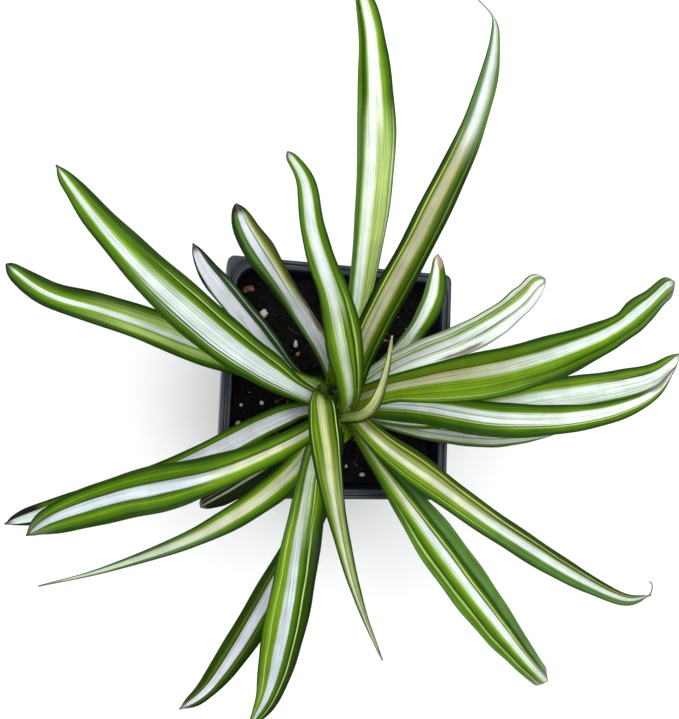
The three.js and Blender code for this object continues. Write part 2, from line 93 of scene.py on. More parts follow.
PALETTE = {
    "char": linear(26, 22, 15),
    "deep": linear(20, 38, 2),
    "dark": linear(34, 62, 2),
    "green": linear(74, 112, 6),
    "lime": linear(108, 144, 20),
    "gold": linear(100, 128, 12),
    "pale_lime": linear(162, 186, 104),
    "yellow": linear(192, 212, 120),
    "cream": linear(206, 214, 156),
    "ivory": linear(208, 212, 182),
    "beige": linear(174, 174, 140),
    "mist": linear(190, 200, 178),
    "white": linear(208, 219, 216),
    "milk": linear(202, 213, 196),
    "frost": linear(196, 206, 210),
    # snow is a brighter white. On the tall back blade it is painted light: the stronger light that falls on
    # that tallest blade.
    "snow": linear(230, 241, 235),
    "lilac": linear(204, 206, 215),
    "grey": linear(150, 160, 144),
    # sage is partly a grey-green of the blades' own and partly painted sheen: the sky's reflection on dark
    # margins and wings, set into the colour
    "sage": linear(82, 118, 60),
    "teal": linear(44, 68, 40),
    "khaki": linear(146, 156, 88),
    "olive": linear(86, 102, 14),
    "bronze": linear(68, 64, 26),
    "tan": linear(176, 142, 116),
    "ash": linear(116, 106, 98),
    "plum": linear(104, 78, 74),
}
print(len(PALETTE), "leaf colours")

# %% Light, air and floor
WORLD_COLOUR = (0.96, 0.98, 1.0)
WORLD_STRENGTH = 0.64
PLANT_MIDDLE = Vector((0, 0, 0.1))
SOFTBOXES = {
    # the place and the size in metres, and the power in watts
    "softbox_overhead": ((0.1, 0.25, 1.5), 1.2, 14),
    "softbox_left": ((-0.85, 0.5, 0.9), 0.8, 6.5),
    "softbox_right": ((0.95, -0.35, 0.8), 0.7, 2.5),
}


def softbox(name, place, size, power):
    """A square softbox at a place in metres, turned to face the plant."""
    light = bpy.data.lights.new(name, "AREA")
    light.size = size
    light.energy = power
    box = bpy.data.objects.new(name, light)
    box.location = place
    box.rotation_euler = (PLANT_MIDDLE - Vector(place)).to_track_quat("-Z", "Y").to_euler()
    bpy.context.scene.collection.objects.link(box)


world = bpy.data.worlds.new("pale_surrounding")
world.use_nodes = True
world.node_tree.nodes["Background"].inputs["Color"].default_value = (*WORLD_COLOUR, 1)
world.node_tree.nodes["Background"].inputs["Strength"].default_value = WORLD_STRENGTH
bpy.context.scene.world = world
bpy.context.scene.view_settings.view_transform = "Standard"
for name, (place, size, power) in SOFTBOXES.items():
    softbox(name, place, size, power)
print("world", WORLD_STRENGTH, "with", len(SOFTBOXES), "softboxes")

# %% [markdown]
# ## Building shaders in code
#
# Each material here is a graph of nodes. Small helpers keep it readable: they add a node and feed its
# inputs, do arithmetic, fade one value into another, mix colours and make noise. A value that is fed may be
# a number, a colour or another node's output.

# %% Node helpers
def feed(tree, socket, value):
    """Links a node's output to a socket, or sets a plain value on it."""
    if isinstance(value, bpy.types.NodeSocket):
        tree.links.new(value, socket)
    else:
        socket.default_value = value


def shader_node(tree, kind, inputs=None, **settings):
    """A new shader node with its settings and inputs."""
    node = tree.nodes.new("ShaderNode" + kind)
    for name, value in settings.items():
        setattr(node, name, value)
    for name, value in (inputs or {}).items():
        feed(tree, node.inputs[name], value)
    return node


def calc(tree, operation, *values):
    """The output of one step of arithmetic."""
    node = tree.nodes.new("ShaderNodeMath")
    node.operation = operation
    for socket, value in zip(node.inputs, values):
        feed(tree, socket, value)
    return node.outputs[0]


def fade(tree, value, start, end, low=0.0, high=1.0):
    """A smooth change from low to high while the value goes from start to end."""
    node = tree.nodes.new("ShaderNodeMapRange")
    node.interpolation_type = "SMOOTHSTEP"
    for socket, number in zip(node.inputs, (value, start, end, low, high)):
        feed(tree, socket, number)
    return node.outputs[0]


def blend_colours(tree, share, first, second, blend_type="MIX"):
    """Two colours mixed, or multiplied, by a share."""
    node = tree.nodes.new("ShaderNodeMix")
    node.data_type = "RGBA"
    node.blend_type = blend_type
    for index, value in ((0, share), (6, first), (7, second)):
        feed(tree, node.inputs[index], value)
    return node.outputs[2]


def noise_at(tree, place, scale, detail, **more):
    """Noise, from 0 to 1, at a place."""
    node = shader_node(tree, "TexNoise", {"Vector": place, "Scale": scale, "Detail": detail, **more})
    return node.outputs["Fac"]


def noise_of(tree, values, scale, detail):
    """Noise, from 0 to 1, at a place made of three values."""
    place = shader_node(tree, "CombineXYZ", dict(zip("XYZ", values)))
    return noise_at(tree, place.outputs[0], scale, detail)


def noise_on_map(tree, along, across, seed, cells, detail=1.0):
    """Noise on a blade's map, with so many cells along the blade and across it."""
    values = [calc(tree, "MULTIPLY", value, count) for value, count in zip((along, across), cells)]
    return noise_of(tree, (*values, seed), 1.0, detail)


def shader_group(name, inputs, outputs):
    """A node group with named inputs, as [name, kind, first value], and named outputs."""
    tree = bpy.data.node_groups.new(name, "ShaderNodeTree")
    for label, kind, value in inputs:
        socket = tree.interface.new_socket(label, in_out="INPUT", socket_type="NodeSocket" + kind)
        socket.default_value = value
    for label, kind in outputs:
        tree.interface.new_socket(label, in_out="OUTPUT", socket_type="NodeSocket" + kind)
    return tree, tree.nodes.new("NodeGroupInput").outputs, tree.nodes.new("NodeGroupOutput").inputs


def place_group(tree, group, **inputs):
    """A group in a material. An input's name has its spaces as underscores here."""
    node = tree.nodes.new("ShaderNodeGroup")
    node.node_tree = group
    for name, value in inputs.items():
        feed(tree, node.inputs[name.replace("_", " ")], value)
    return node.outputs


print("node helpers ready")

# %% [markdown]
# ## The stripes' paths
#
# A leaf of this family grows from its foot, so its stripes run the whole length and never branch. They are
# painted on the blade's own map: u goes from foot to tip, v from the left margin to the right one. The
# underside is the same map moved up by one, so one material knows which side it is on. Perfectly even
# stripes look printed. A slow noise pushes them a little to either side on their way, and a fine one
# feathers their borders.

# %% Group: stripe paths
BLADE_MAP = "blade"
WHITE = (1, 1, 1, 1)
BLACK = (0, 0, 0, 1)
UNDER_START = 1.0005
# cells of noise along a blade and across it
SLOW_CELLS = (4.0, 2.2)
QUICK_CELLS = (19.0, 9.0)
STREAK_CELLS = (6.0, 60.0)
SLOW_SHARE = 3.0

stripe_paths, given, result = shader_group(
    "stripe paths",
    [("Seed", "Float", 0.0), ("Wander", "Float", 0.03)],
    [("Along", "Float"), ("Across", "Float"), ("Under", "Float")],
)
tree = stripe_paths
blade_map = shader_node(tree, "UVMap", uv_map=BLADE_MAP)
split = shader_node(tree, "SeparateXYZ", {"Vector": blade_map.outputs[0]})
along, across = split.outputs["X"], split.outputs["Y"]
under = calc(tree, "GREATER_THAN", across, UNDER_START)
across = calc(tree, "SUBTRACT", across, under)
slow = noise_on_map(tree, along, across, given["Seed"], SLOW_CELLS)
quick = noise_on_map(tree, along, across, given["Seed"], QUICK_CELLS, detail=2.0)
streaks = noise_on_map(tree, along, across, given["Seed"], STREAK_CELLS)
slow = calc(tree, "MULTIPLY", calc(tree, "SUBTRACT", slow, 0.5), SLOW_SHARE)
quick = calc(tree, "SUBTRACT", calc(tree, "ADD", quick, streaks), 1.0)
push = calc(tree, "MULTIPLY", calc(tree, "ADD", slow, quick), given["Wander"])
feed(tree, result["Along"], along)
feed(tree, result["Across"], calc(tree, "ADD", across, push))
feed(tree, result["Under"], under)
print("group:", stripe_paths.name)

# %% [markdown]
# ## Living skin
#
# Between the stripes the skin itself varies: dozens of fine veins, faint clouds of lighter and darker
# green, a brownish foot where the blade leaves the crown, a duller underside, and a tip that has dried.
# They are alike on every blade, so they are one group. Each material gives it the blade's own stripes and
# the reach of its dry tip.

# %% Group: living skin
UNDER_COLOUR = linear(100, 126, 60)
VEIN_TINT = linear(186, 196, 152)
FINE_CELLS = (7.0, 70.0)
VEIN_CELLS = (2.5, 34.0)
VEIN_SEED = 7.3
CLOUD_SCALE = 120.0
# where noise, most of which lies near a half, starts to count and counts in full
NOISE_SPAN = (0.3, 0.7)
VEIN_SPAN = (0.54, 0.66)
# how much darker and lighter the noises make the skin
FINE_SHADES = (0.84, 1.09)
CLOUD_SHADES = (0.9, 1.08)
VEIN_SHARE = 0.7
VEIN_DEPTH = -0.5
FOOT_START = 0.02
FOOT_SHARE = 0.62
UNDER_SHARE = 0.4
DRY_RAGGED = 0.03
DRY_SOFT = 0.035
DRY_SHARE = 0.9
SKIN_ROUGHNESS = (0.33, 0.44)
UNDER_ROUGHER = 0.15
DRY_ROUGHER = 0.3

living_skin, given, result = shader_group(
    "living skin",
    [
        ("Stripes", "Color", WHITE),
        ("Along", "Float", 0.0),
        ("Across", "Float", 0.0),
        ("Under", "Float", 0.0),
        ("Seed", "Float", 0.0),
        ("Dry from", "Float", 0.97),
        ("Dry colour", "Color", PALETTE["ash"]),
        ("Foot reach", "Float", 0.16),
        ("Foot colour", "Color", PALETTE["olive"]),
    ],
    [("Color", "Color"), ("Roughness", "Float"), ("Height", "Float")],
)
tree = living_skin
fine = noise_on_map(tree, given["Along"], given["Across"], given["Seed"], FINE_CELLS, detail=2.0)
vein_seed = calc(tree, "ADD", given["Seed"], VEIN_SEED)
veins = noise_on_map(tree, given["Along"], given["Across"], vein_seed, VEIN_CELLS)
veins = fade(tree, veins, *VEIN_SPAN)
clouds = noise_at(tree, shader_node(tree, "TexCoord").outputs["Object"], CLOUD_SCALE, 3.0)

skin = given["Stripes"]
skin = blend_colours(tree, 1.0, skin, fade(tree, fine, *NOISE_SPAN, *FINE_SHADES), "MULTIPLY")
skin = blend_colours(tree, calc(tree, "MULTIPLY", veins, VEIN_SHARE), skin, VEIN_TINT, "MULTIPLY")
skin = blend_colours(tree, 1.0, skin, fade(tree, clouds, *NOISE_SPAN, *CLOUD_SHADES), "MULTIPLY")
foot = fade(tree, given["Along"], FOOT_START, given["Foot reach"], 1.0, 0.0)
skin = blend_colours(tree, calc(tree, "MULTIPLY", foot, FOOT_SHARE), skin, given["Foot colour"])
skin = blend_colours(tree, calc(tree, "MULTIPLY", given["Under"], UNDER_SHARE), skin, UNDER_COLOUR)
ragged = calc(tree, "MULTIPLY_ADD", fine, DRY_RAGGED, given["Along"])
dry = fade(tree, ragged, given["Dry from"], calc(tree, "ADD", given["Dry from"], DRY_SOFT))
skin = blend_colours(tree, calc(tree, "MULTIPLY", dry, DRY_SHARE), skin, given["Dry colour"])
rough = fade(tree, fine, *NOISE_SPAN, *SKIN_ROUGHNESS)
rough = calc(tree, "MULTIPLY_ADD", given["Under"], UNDER_ROUGHER, rough)
rough = calc(tree, "MULTIPLY_ADD", dry, DRY_ROUGHER, rough)
feed(tree, result["Color"], skin)
feed(tree, result["Roughness"], rough)
feed(tree, result["Height"], calc(tree, "MULTIPLY_ADD", veins, VEIN_DEPTH, fine))
print("group:", living_skin.name)

# %% [markdown]
# ## One material for each blade
#
# No two blades have the same stripes, and that is what tells them apart in the photograph. A colour ramp
# across the blade holds a blade's own bands: each entry says where a band starts, from the left margin at 0
# to the right one at 1, and its colour by name. Many blades change on their way, so a second ramp takes
# over towards the tip. A pale band ends sharply, because its cells hold no green at all. Two greens pass
# into each other slowly.

# %% Bands of colour across a blade
CRISP_BORDER = 0.016
SOFT_BORDER = 0.06
BORDER_LIMIT = 0.45
PALE = {"white", "milk", "frost", "snow", "lilac", "ivory", "cream", "beige", "mist", "yellow", "grey"}


def read_bands(text):
    """Bands from their written form, a start and a colour each, such as "0 dark, 0.1 green"."""
    entries = [entry.split() for entry in text.split(",")]
    return [(float(start), name) for start, name in entries]


def paint_bands(tree, across, text, crisp):
    """A colour ramp with the bands that a text names, read across the blade."""
    bands = read_bands(text)
    ramp = shader_node(tree, "ValToRGB", {"Fac": across})
    stops = ramp.color_ramp.elements
    stops.remove(stops[1])
    stops[0].position = 0
    stops[0].color = PALETTE[bands[0][1]]
    ends = [start for start, _ in bands[1:]] + [1.0]
    for (opened, before), (start, name), end in zip(bands, bands[1:], ends[1:]):
        soft = crisp if {before, name} & PALE else SOFT_BORDER
        soft = min(soft, BORDER_LIMIT * (start - opened), BORDER_LIMIT * (end - start))
        stops.new(start - soft).color = PALETTE[before]
        stops.new(start + soft).color = PALETTE[name]
    return ramp.outputs["Color"]


# %% Blemishes
SPOT_GRAIN = 1.8
SPOT_RAGGED = 0.9
SPOT_EDGE = (0.9, 1.4)
SPOT_SHARE = 0.85


def paint_spot(tree, path, colour, seed, along, across, length, width, name):
    """A ragged blemish over a colour: its middle and its half sizes on the blade's map."""
    off_along = calc(tree, "DIVIDE", calc(tree, "SUBTRACT", path["Along"], along), length)
    off_across = calc(tree, "DIVIDE", calc(tree, "SUBTRACT", path["Across"], across), width)
    squares = [calc(tree, "MULTIPLY", off, off) for off in (off_along, off_across)]
    off = calc(tree, "SQRT", calc(tree, "ADD", *squares))
    rough = noise_of(tree, (off_along, off_across, seed), SPOT_GRAIN, 3.0)
    mask = fade(tree, calc(tree, "MULTIPLY_ADD", rough, SPOT_RAGGED, off), *SPOT_EDGE, SPOT_SHARE, 0.0)
    return blend_colours(tree, mask, colour, PALETTE[name])


# %% The finish of a blade
BLADE_SHINE = 0.07
BLADE_RELIEF = (0.00025, 0.35)
STRIPE_WANDER = 0.022
CHANGE = (0.3, 0.6)
DRY_FROM = 0.975
FOOT_REACH = 0.14


def principled(name):
    """A new material: its tree and its shader."""
    material = bpy.data.materials.new(name)
    material.use_nodes = True
    return material, material.node_tree, material.node_tree.nodes["Principled BSDF"]


def set_surface(tree, shader, colour, roughness, height, relief):
    """Feeds a shader. relief says how deep the height shows, in metres, and how strongly."""
    distance, strength = relief
    bump = shader_node(tree, "Bump", {"Height": height, "Distance": distance, "Strength": strength})
    feed(tree, shader.inputs["Base Color"], colour)
    feed(tree, shader.inputs["Roughness"], roughness)
    feed(tree, shader.inputs["Normal"], bump.outputs[0])


def blade_material(name, seed, marks):
    """The finish of one blade, from its marks."""
    material, tree, shader = principled(name + "_skin")
    path = place_group(tree, stripe_paths, Seed=seed, Wander=STRIPE_WANDER)
    crisp = marks.get("crisp", CRISP_BORDER)
    stripes = paint_bands(tree, path["Across"], marks["bands"], crisp)
    if "outer" in marks:
        outer = paint_bands(tree, path["Across"], marks["outer"], crisp)
        share = fade(tree, path["Along"], *marks.get("change", CHANGE))
        stripes = blend_colours(tree, share, stripes, outer)
    skin = place_group(
        tree, living_skin, Stripes=stripes, Along=path["Along"], Across=path["Across"], Under=path["Under"],
        Seed=seed, Dry_from=marks.get("dry_from", DRY_FROM), Dry_colour=PALETTE[marks.get("dry", "ash")],
        Foot_reach=marks.get("foot_reach", FOOT_REACH), Foot_colour=PALETTE[marks.get("foot", "olive")],
    )
    colour = skin["Color"]
    if "spot" in marks:
        colour = paint_spot(tree, path, colour, seed, *marks["spot"])
    set_surface(tree, shader, colour, skin["Roughness"], skin["Height"], BLADE_RELIEF)
    shader.inputs["Specular IOR Level"].default_value = BLADE_SHINE
    return material


print("borders change over", CRISP_BORDER * 200, "% of the width beside pale bands and up to",
      SOFT_BORDER * 200, "% between greens")

# %% [markdown]
# ## The stripes of every blade
#
# The bands were read from enlarged parts of the photograph, one blade at a time. Left and right are
# as seen from the crown, looking out along the blade. The outer bands take over between the two shares of
# the length that are listed as the change. Crisp is how soft the pale borders are, foot and dry name the
# colours of the two ends, and a spot is a blemish with its middle, its half sizes and its colour.

# %% Marks of the blades
MARKS = {
    "leaf_centre_young": {
        "bands": "0 green, 0.14 khaki, 0.4 pale_lime, 0.66 khaki, 0.82 dark",
        "outer": "0 olive, 0.15 cream, 0.7 khaki, 0.85 bronze",
        "change": (0.3, 0.5), "foot": "green", "dry": "beige", "dry_from": 0.9,
    },
    "leaf_centre_top": {
        "bands": "0 dark, 0.06 green, 0.17 lime, 0.24 pale_lime, 0.29 milk, 0.47 pale_lime, 0.55 dark, "
                 "0.59 lime, 0.69 dark, 0.75 lime, 0.78 yellow, 0.81 green, 0.92 dark",
        "outer": "0 dark, 0.06 green, 0.16 sage, 0.22 pale_lime, 0.27 white, 0.64 pale_lime, 0.69 green, "
                 "0.9 dark",
        "change": (0.42, 0.66), "crisp": 0.025, "foot": "olive", "foot_reach": 0.2, "dry": "char",
        "dry_from": 0.985,
    },
    "leaf_front_narrow": {
        "bands": "0 deep, 0.07 yellow, 0.1 dark, 0.18 green, 0.24 olive, 0.32 khaki, 0.38 cream, "
                 "0.56 khaki, 0.62 green, 0.7 lime, 0.8 green, 0.88 yellow, 0.905 dark",
        "outer": "0 deep, 0.1 sage, 0.18 khaki, 0.38 olive, 0.42 mist, 0.64 khaki, 0.74 green, 0.88 deep",
        "change": (0.35, 0.6), "foot": "olive", "foot_reach": 0.2, "dry_from": 0.955,
    },
    "leaf_back_right_long": {
        "bands": "0 deep, 0.07 dark, 0.15 green, 0.19 yellow, 0.22 olive, 0.28 khaki, 0.33 beige, "
                 "0.61 khaki, 0.66 olive, 0.76 dark, 0.86 lime, 0.88 dark, 0.93 deep",
        "outer": "0 dark, 0.07 sage, 0.27 grey, 0.36 white, 0.64 mist, 0.74 grey, 0.82 sage, 0.95 green",
        "change": (0.56, 0.7), "crisp": 0.035, "dry": "grey", "dry_from": 0.945,
    },
    "leaf_back_left_long": {
        "bands": "0 dark, 0.1 green, 0.19 white, 0.21 dark, 0.25 white, 0.3 green, 0.315 white, 0.66 lime, "
                 "0.7 green, 0.77 dark, 0.81 cream, 0.83 green, 0.92 dark",
        "outer": "0 dark, 0.1 green, 0.26 lime, 0.33 white, 0.55 pale_lime, 0.6 lime, 0.68 green, "
                 "0.82 dark",
        "change": (0.5, 0.72), "dry": "char", "dry_from": 0.98,
    },
    "leaf_right_long": {
        "bands": "0 dark, 0.08 green, 0.17 olive, 0.26 dark, 0.29 khaki, 0.34 beige, 0.52 lime, 0.58 gold, "
                 "0.7 lime, 0.76 gold, 0.88 pale_lime, 0.9 green, 0.96 dark",
        "outer": "0 dark, 0.1 green, 0.22 dark, 0.27 lime, 0.32 white, 0.56 pale_lime, 0.6 lime, "
                 "0.68 green, 0.75 dark, 0.8 green, 0.9 dark",
        "change": (0.28, 0.56), "crisp": 0.022,
    },
    "leaf_left_broad": {
        "bands": "0 dark, 0.1 green, 0.22 lime, 0.33 pale_lime, 0.37 ivory, 0.6 dark, 0.63 green, "
                 "0.7 lime, 0.76 green, 0.86 dark",
        "outer": "0 dark, 0.14 green, 0.24 lime, 0.28 green, 0.34 dark, 0.38 frost, 0.61 dark, 0.66 green, "
                 "0.76 lime, 0.79 green, 0.88 dark",
        "change": (0.4, 0.55), "crisp": 0.022, "dry": "bronze", "dry_from": 0.97,
    },
    "leaf_front_right_upper": {
        "bands": "0 dark, 0.1 olive, 0.15 yellow, 0.17 olive, 0.26 khaki, 0.36 ivory, 0.57 khaki, "
                 "0.64 lime, 0.74 green, 0.8 yellow, 0.815 green, 0.9 dark",
        "outer": "0 dark, 0.13 olive, 0.17 cream, 0.19 dark, 0.27 khaki, 0.34 white, 0.55 mist, 0.61 sage, "
                 "0.7 green, 0.78 sage, 0.9 dark",
        "change": (0.3, 0.55), "crisp": 0.022, "dry_from": 0.97,
    },
    "leaf_front_long": {
        "bands": "0 dark, 0.1 green, 0.18 lime, 0.26 yellow, 0.28 green, 0.33 pale_lime, 0.37 milk, "
                 "0.6 beige, 0.64 olive, 0.7 green, 0.76 lime, 0.84 sage, 0.95 dark",
        "outer": "0 deep, 0.08 dark, 0.21 yellow, 0.235 dark, 0.31 green, 0.41 frost, 0.66 lime, "
                 "0.74 gold, 0.81 yellow, 0.83 lime, 0.9 green, 0.97 dark",
        "change": (0.34, 0.5), "crisp": 0.02,
    },
    # painted light: the snow stripe makes this tallest blade as bright as the strong light on it
    "leaf_back_tall": {
        "bands": "0 sage, 0.08 green, 0.14 sage, 0.2 pale_lime, 0.26 snow, 0.54 cream, 0.6 pale_lime, "
                 "0.72 cream, 0.735 pale_lime, 0.88 lime, 0.92 mist, 0.95 green",
        "outer": "0 green, 0.1 dark, 0.2 green, 0.27 pale_lime, 0.33 snow, 0.66 pale_lime, 0.72 lime, "
                 "0.8 green, 0.9 dark",
        "change": (0.54, 0.68), "crisp": 0.035,
    },
    "leaf_right_upper": {
        "bands": "0 sage, 0.04 grey, 0.1 mist, 0.19 sage, 0.22 mist, 0.28 olive, 0.32 pale_lime, "
                 "0.38 lilac, 0.58 olive, 0.61 mist, 0.7 snow, 0.95 grey",
        "outer": "0 dark, 0.04 mist, 0.18 sage, 0.25 pale_lime, 0.29 olive, 0.33 pale_lime, 0.42 snow, "
                 "0.62 green, 0.66 mist, 0.72 snow, 0.95 grey",
        "change": (0.45, 0.62), "crisp": 0.018, "foot_reach": 0.1, "spot": (0.5, 0.88, 0.12, 0.08, "plum"),
    },
    "leaf_back_left_inner": {
        "bands": "0 dark, 0.1 sage, 0.27 mist, 0.33 lilac, 0.78 mist, 0.9 plum, 0.95 ash",
        "outer": "0 deep, 0.1 dark, 0.2 sage, 0.3 green, 0.37 lilac, 0.62 olive, 0.65 mist, 0.72 khaki, "
                 "0.8 olive, 0.88 bronze, 0.95 char",
        "change": (0.45, 0.65), "dry": "char", "dry_from": 0.95, "spot": (0.42, 0.9, 0.08, 0.12, "plum"),
    },
    "leaf_right_swept": {
        "bands": "0 dark, 0.08 green, 0.22 lime, 0.28 snow, 0.44 grey, 0.46 snow, 0.62 dark, 0.65 yellow, "
                 "0.68 green, 0.82 dark",
        "outer": "0 dark, 0.1 green, 0.2 lime, 0.27 snow, 0.68 dark, 0.72 yellow, 0.76 green, 0.9 dark",
        "crisp": 0.022, "spot": (0.92, 0.1, 0.12, 0.7, "ash"), "dry_from": 0.975,
    },
    "leaf_front_left_thin": {
        "bands": "0 dark, 0.12 green, 0.24 lime, 0.33 ivory, 0.68 yellow, 0.74 lime, 0.84 green, 0.92 dark",
        "outer": "0 deep, 0.1 sage, 0.26 mist, 0.72 sage, 0.86 dark",
        "change": (0.45, 0.7), "crisp": 0.025, "dry_from": 0.94,
    },
    "leaf_left_under": {
        "bands": "0 dark, 0.1 green, 0.18 pale_lime, 0.36 lime, 0.41 white, 0.56 yellow, 0.62 pale_lime, "
                 "0.8 green, 0.92 dark",
        "outer": "0 deep, 0.1 dark, 0.2 green, 0.32 lime, 0.41 white, 0.57 lime, 0.66 green, 0.78 dark, "
                 "0.92 deep",
        "change": (0.58, 0.8), "dry": "char", "dry_from": 0.975,
    },
    "leaf_front_right_lower": {
        "bands": "0 dark, 0.1 sage, 0.18 dark, 0.3 green, 0.37 yellow, 0.39 olive, 0.43 ivory, "
                 "0.57 pale_lime, 0.66 lime, 0.74 green, 0.9 dark",
        "outer": "0 sage, 0.06 green, 0.12 sage, 0.24 dark, 0.32 green, 0.36 yellow, 0.38 olive, "
                 "0.42 white, 0.58 pale_lime, 0.62 lime, 0.68 green, 0.76 dark, 0.82 pale_lime, "
                 "0.86 green, 0.95 sage",
        "change": (0.25, 0.4), "crisp": 0.022, "foot_reach": 0.26,
    },
    "leaf_left_behind": {
        "bands": "0 dark, 0.07 green, 0.17 lilac, 0.7 green, 0.88 dark",
        "outer": "0 char, 0.2 white, 0.68 char",
        "change": (0.86, 0.9), "dry": "char", "dry_from": 0.975,
    },
    "leaf_back_left_short": {
        "bands": "0 dark, 0.06 grey, 0.1 lilac, 0.66 grey, 0.69 teal, 0.84 grey, 0.88 teal, 0.96 deep",
        "outer": "0 char, 0.12 lilac, 0.7 teal, 0.86 char",
        "change": (0.72, 0.85), "dry": "char", "dry_from": 0.96,
    },
    "leaf_back_right_dry": {
        "bands": "0 sage, 0.15 mist, 0.7 grey, 0.85 sage",
        "outer": "0 sage, 0.1 green, 0.2 mist, 0.26 snow, 0.6 pale_lime, 0.66 green, 0.88 dark",
        "change": (0.45, 0.6), "crisp": 0.025, "dry": "tan", "dry_from": 0.965,
        "spot": (0.95, 0.7, 0.05, 0.3, "tan"),
    },
    "leaf_right_lower": {
        "bands": "0 dark, 0.08 green, 0.18 lime, 0.32 pale_lime, 0.39 snow, 0.88 green",
        "outer": "0 dark, 0.1 green, 0.2 lime, 0.33 dark, 0.4 snow, 0.9 green",
        "change": (0.6, 0.8), "foot": "grey",
    },
    "leaf_front_left_under": {
        "bands": "0 deep, 0.1 dark, 0.2 olive, 0.25 dark, 0.3 lilac, 0.6 dark, 0.66 olive, 0.76 dark",
        "dry": "ash", "dry_from": 0.975,
    },
    "leaf_right_pale": {
        "bands": "0 sage, 0.1 grey, 0.22 mist, 0.4 sage, 0.45 lilac, 0.6 grey, 0.66 mist, 0.86 sage, "
                 "0.94 bronze",
        "foot": "grey",
    },
    # painted shade: the char, deep and ash bands, the greyed stripe and the long deep foot darken this blade
    # for the shade it lies in under its neighbours
    "leaf_left_shaded": {
        "bands": "0 char, 0.2 deep, 0.44 grey, 0.58 char, 0.74 ash, 0.8 char",
        "foot": "deep", "foot_reach": 0.3,
    },
}
band_count = sum(len(read_bands(marks["bands"])) for marks in MARKS.values())
print(len(MARKS), "blades with", band_count, "bands at their feet")

# %% [markdown]
# ## The run of each blade
#
# A blade's shape is its midrib's path, its two margins and its fold. The path is a smooth curve through a
# few points that were measured in the photograph at likely heights, the same ones that the solids use. The
# margins are listed as the reach to the left and to the right at shares of the length, because a real blade
# is never symmetrical: it has waists, humps and a tip that leans. Fold is the rise of the two wings, in
# degrees at the foot and at the tip. Where a blade bends over at its end, its wings droop and the fold is
# less than zero. A blunt blade also has its tip listed, the last share of it, which is rounded off.

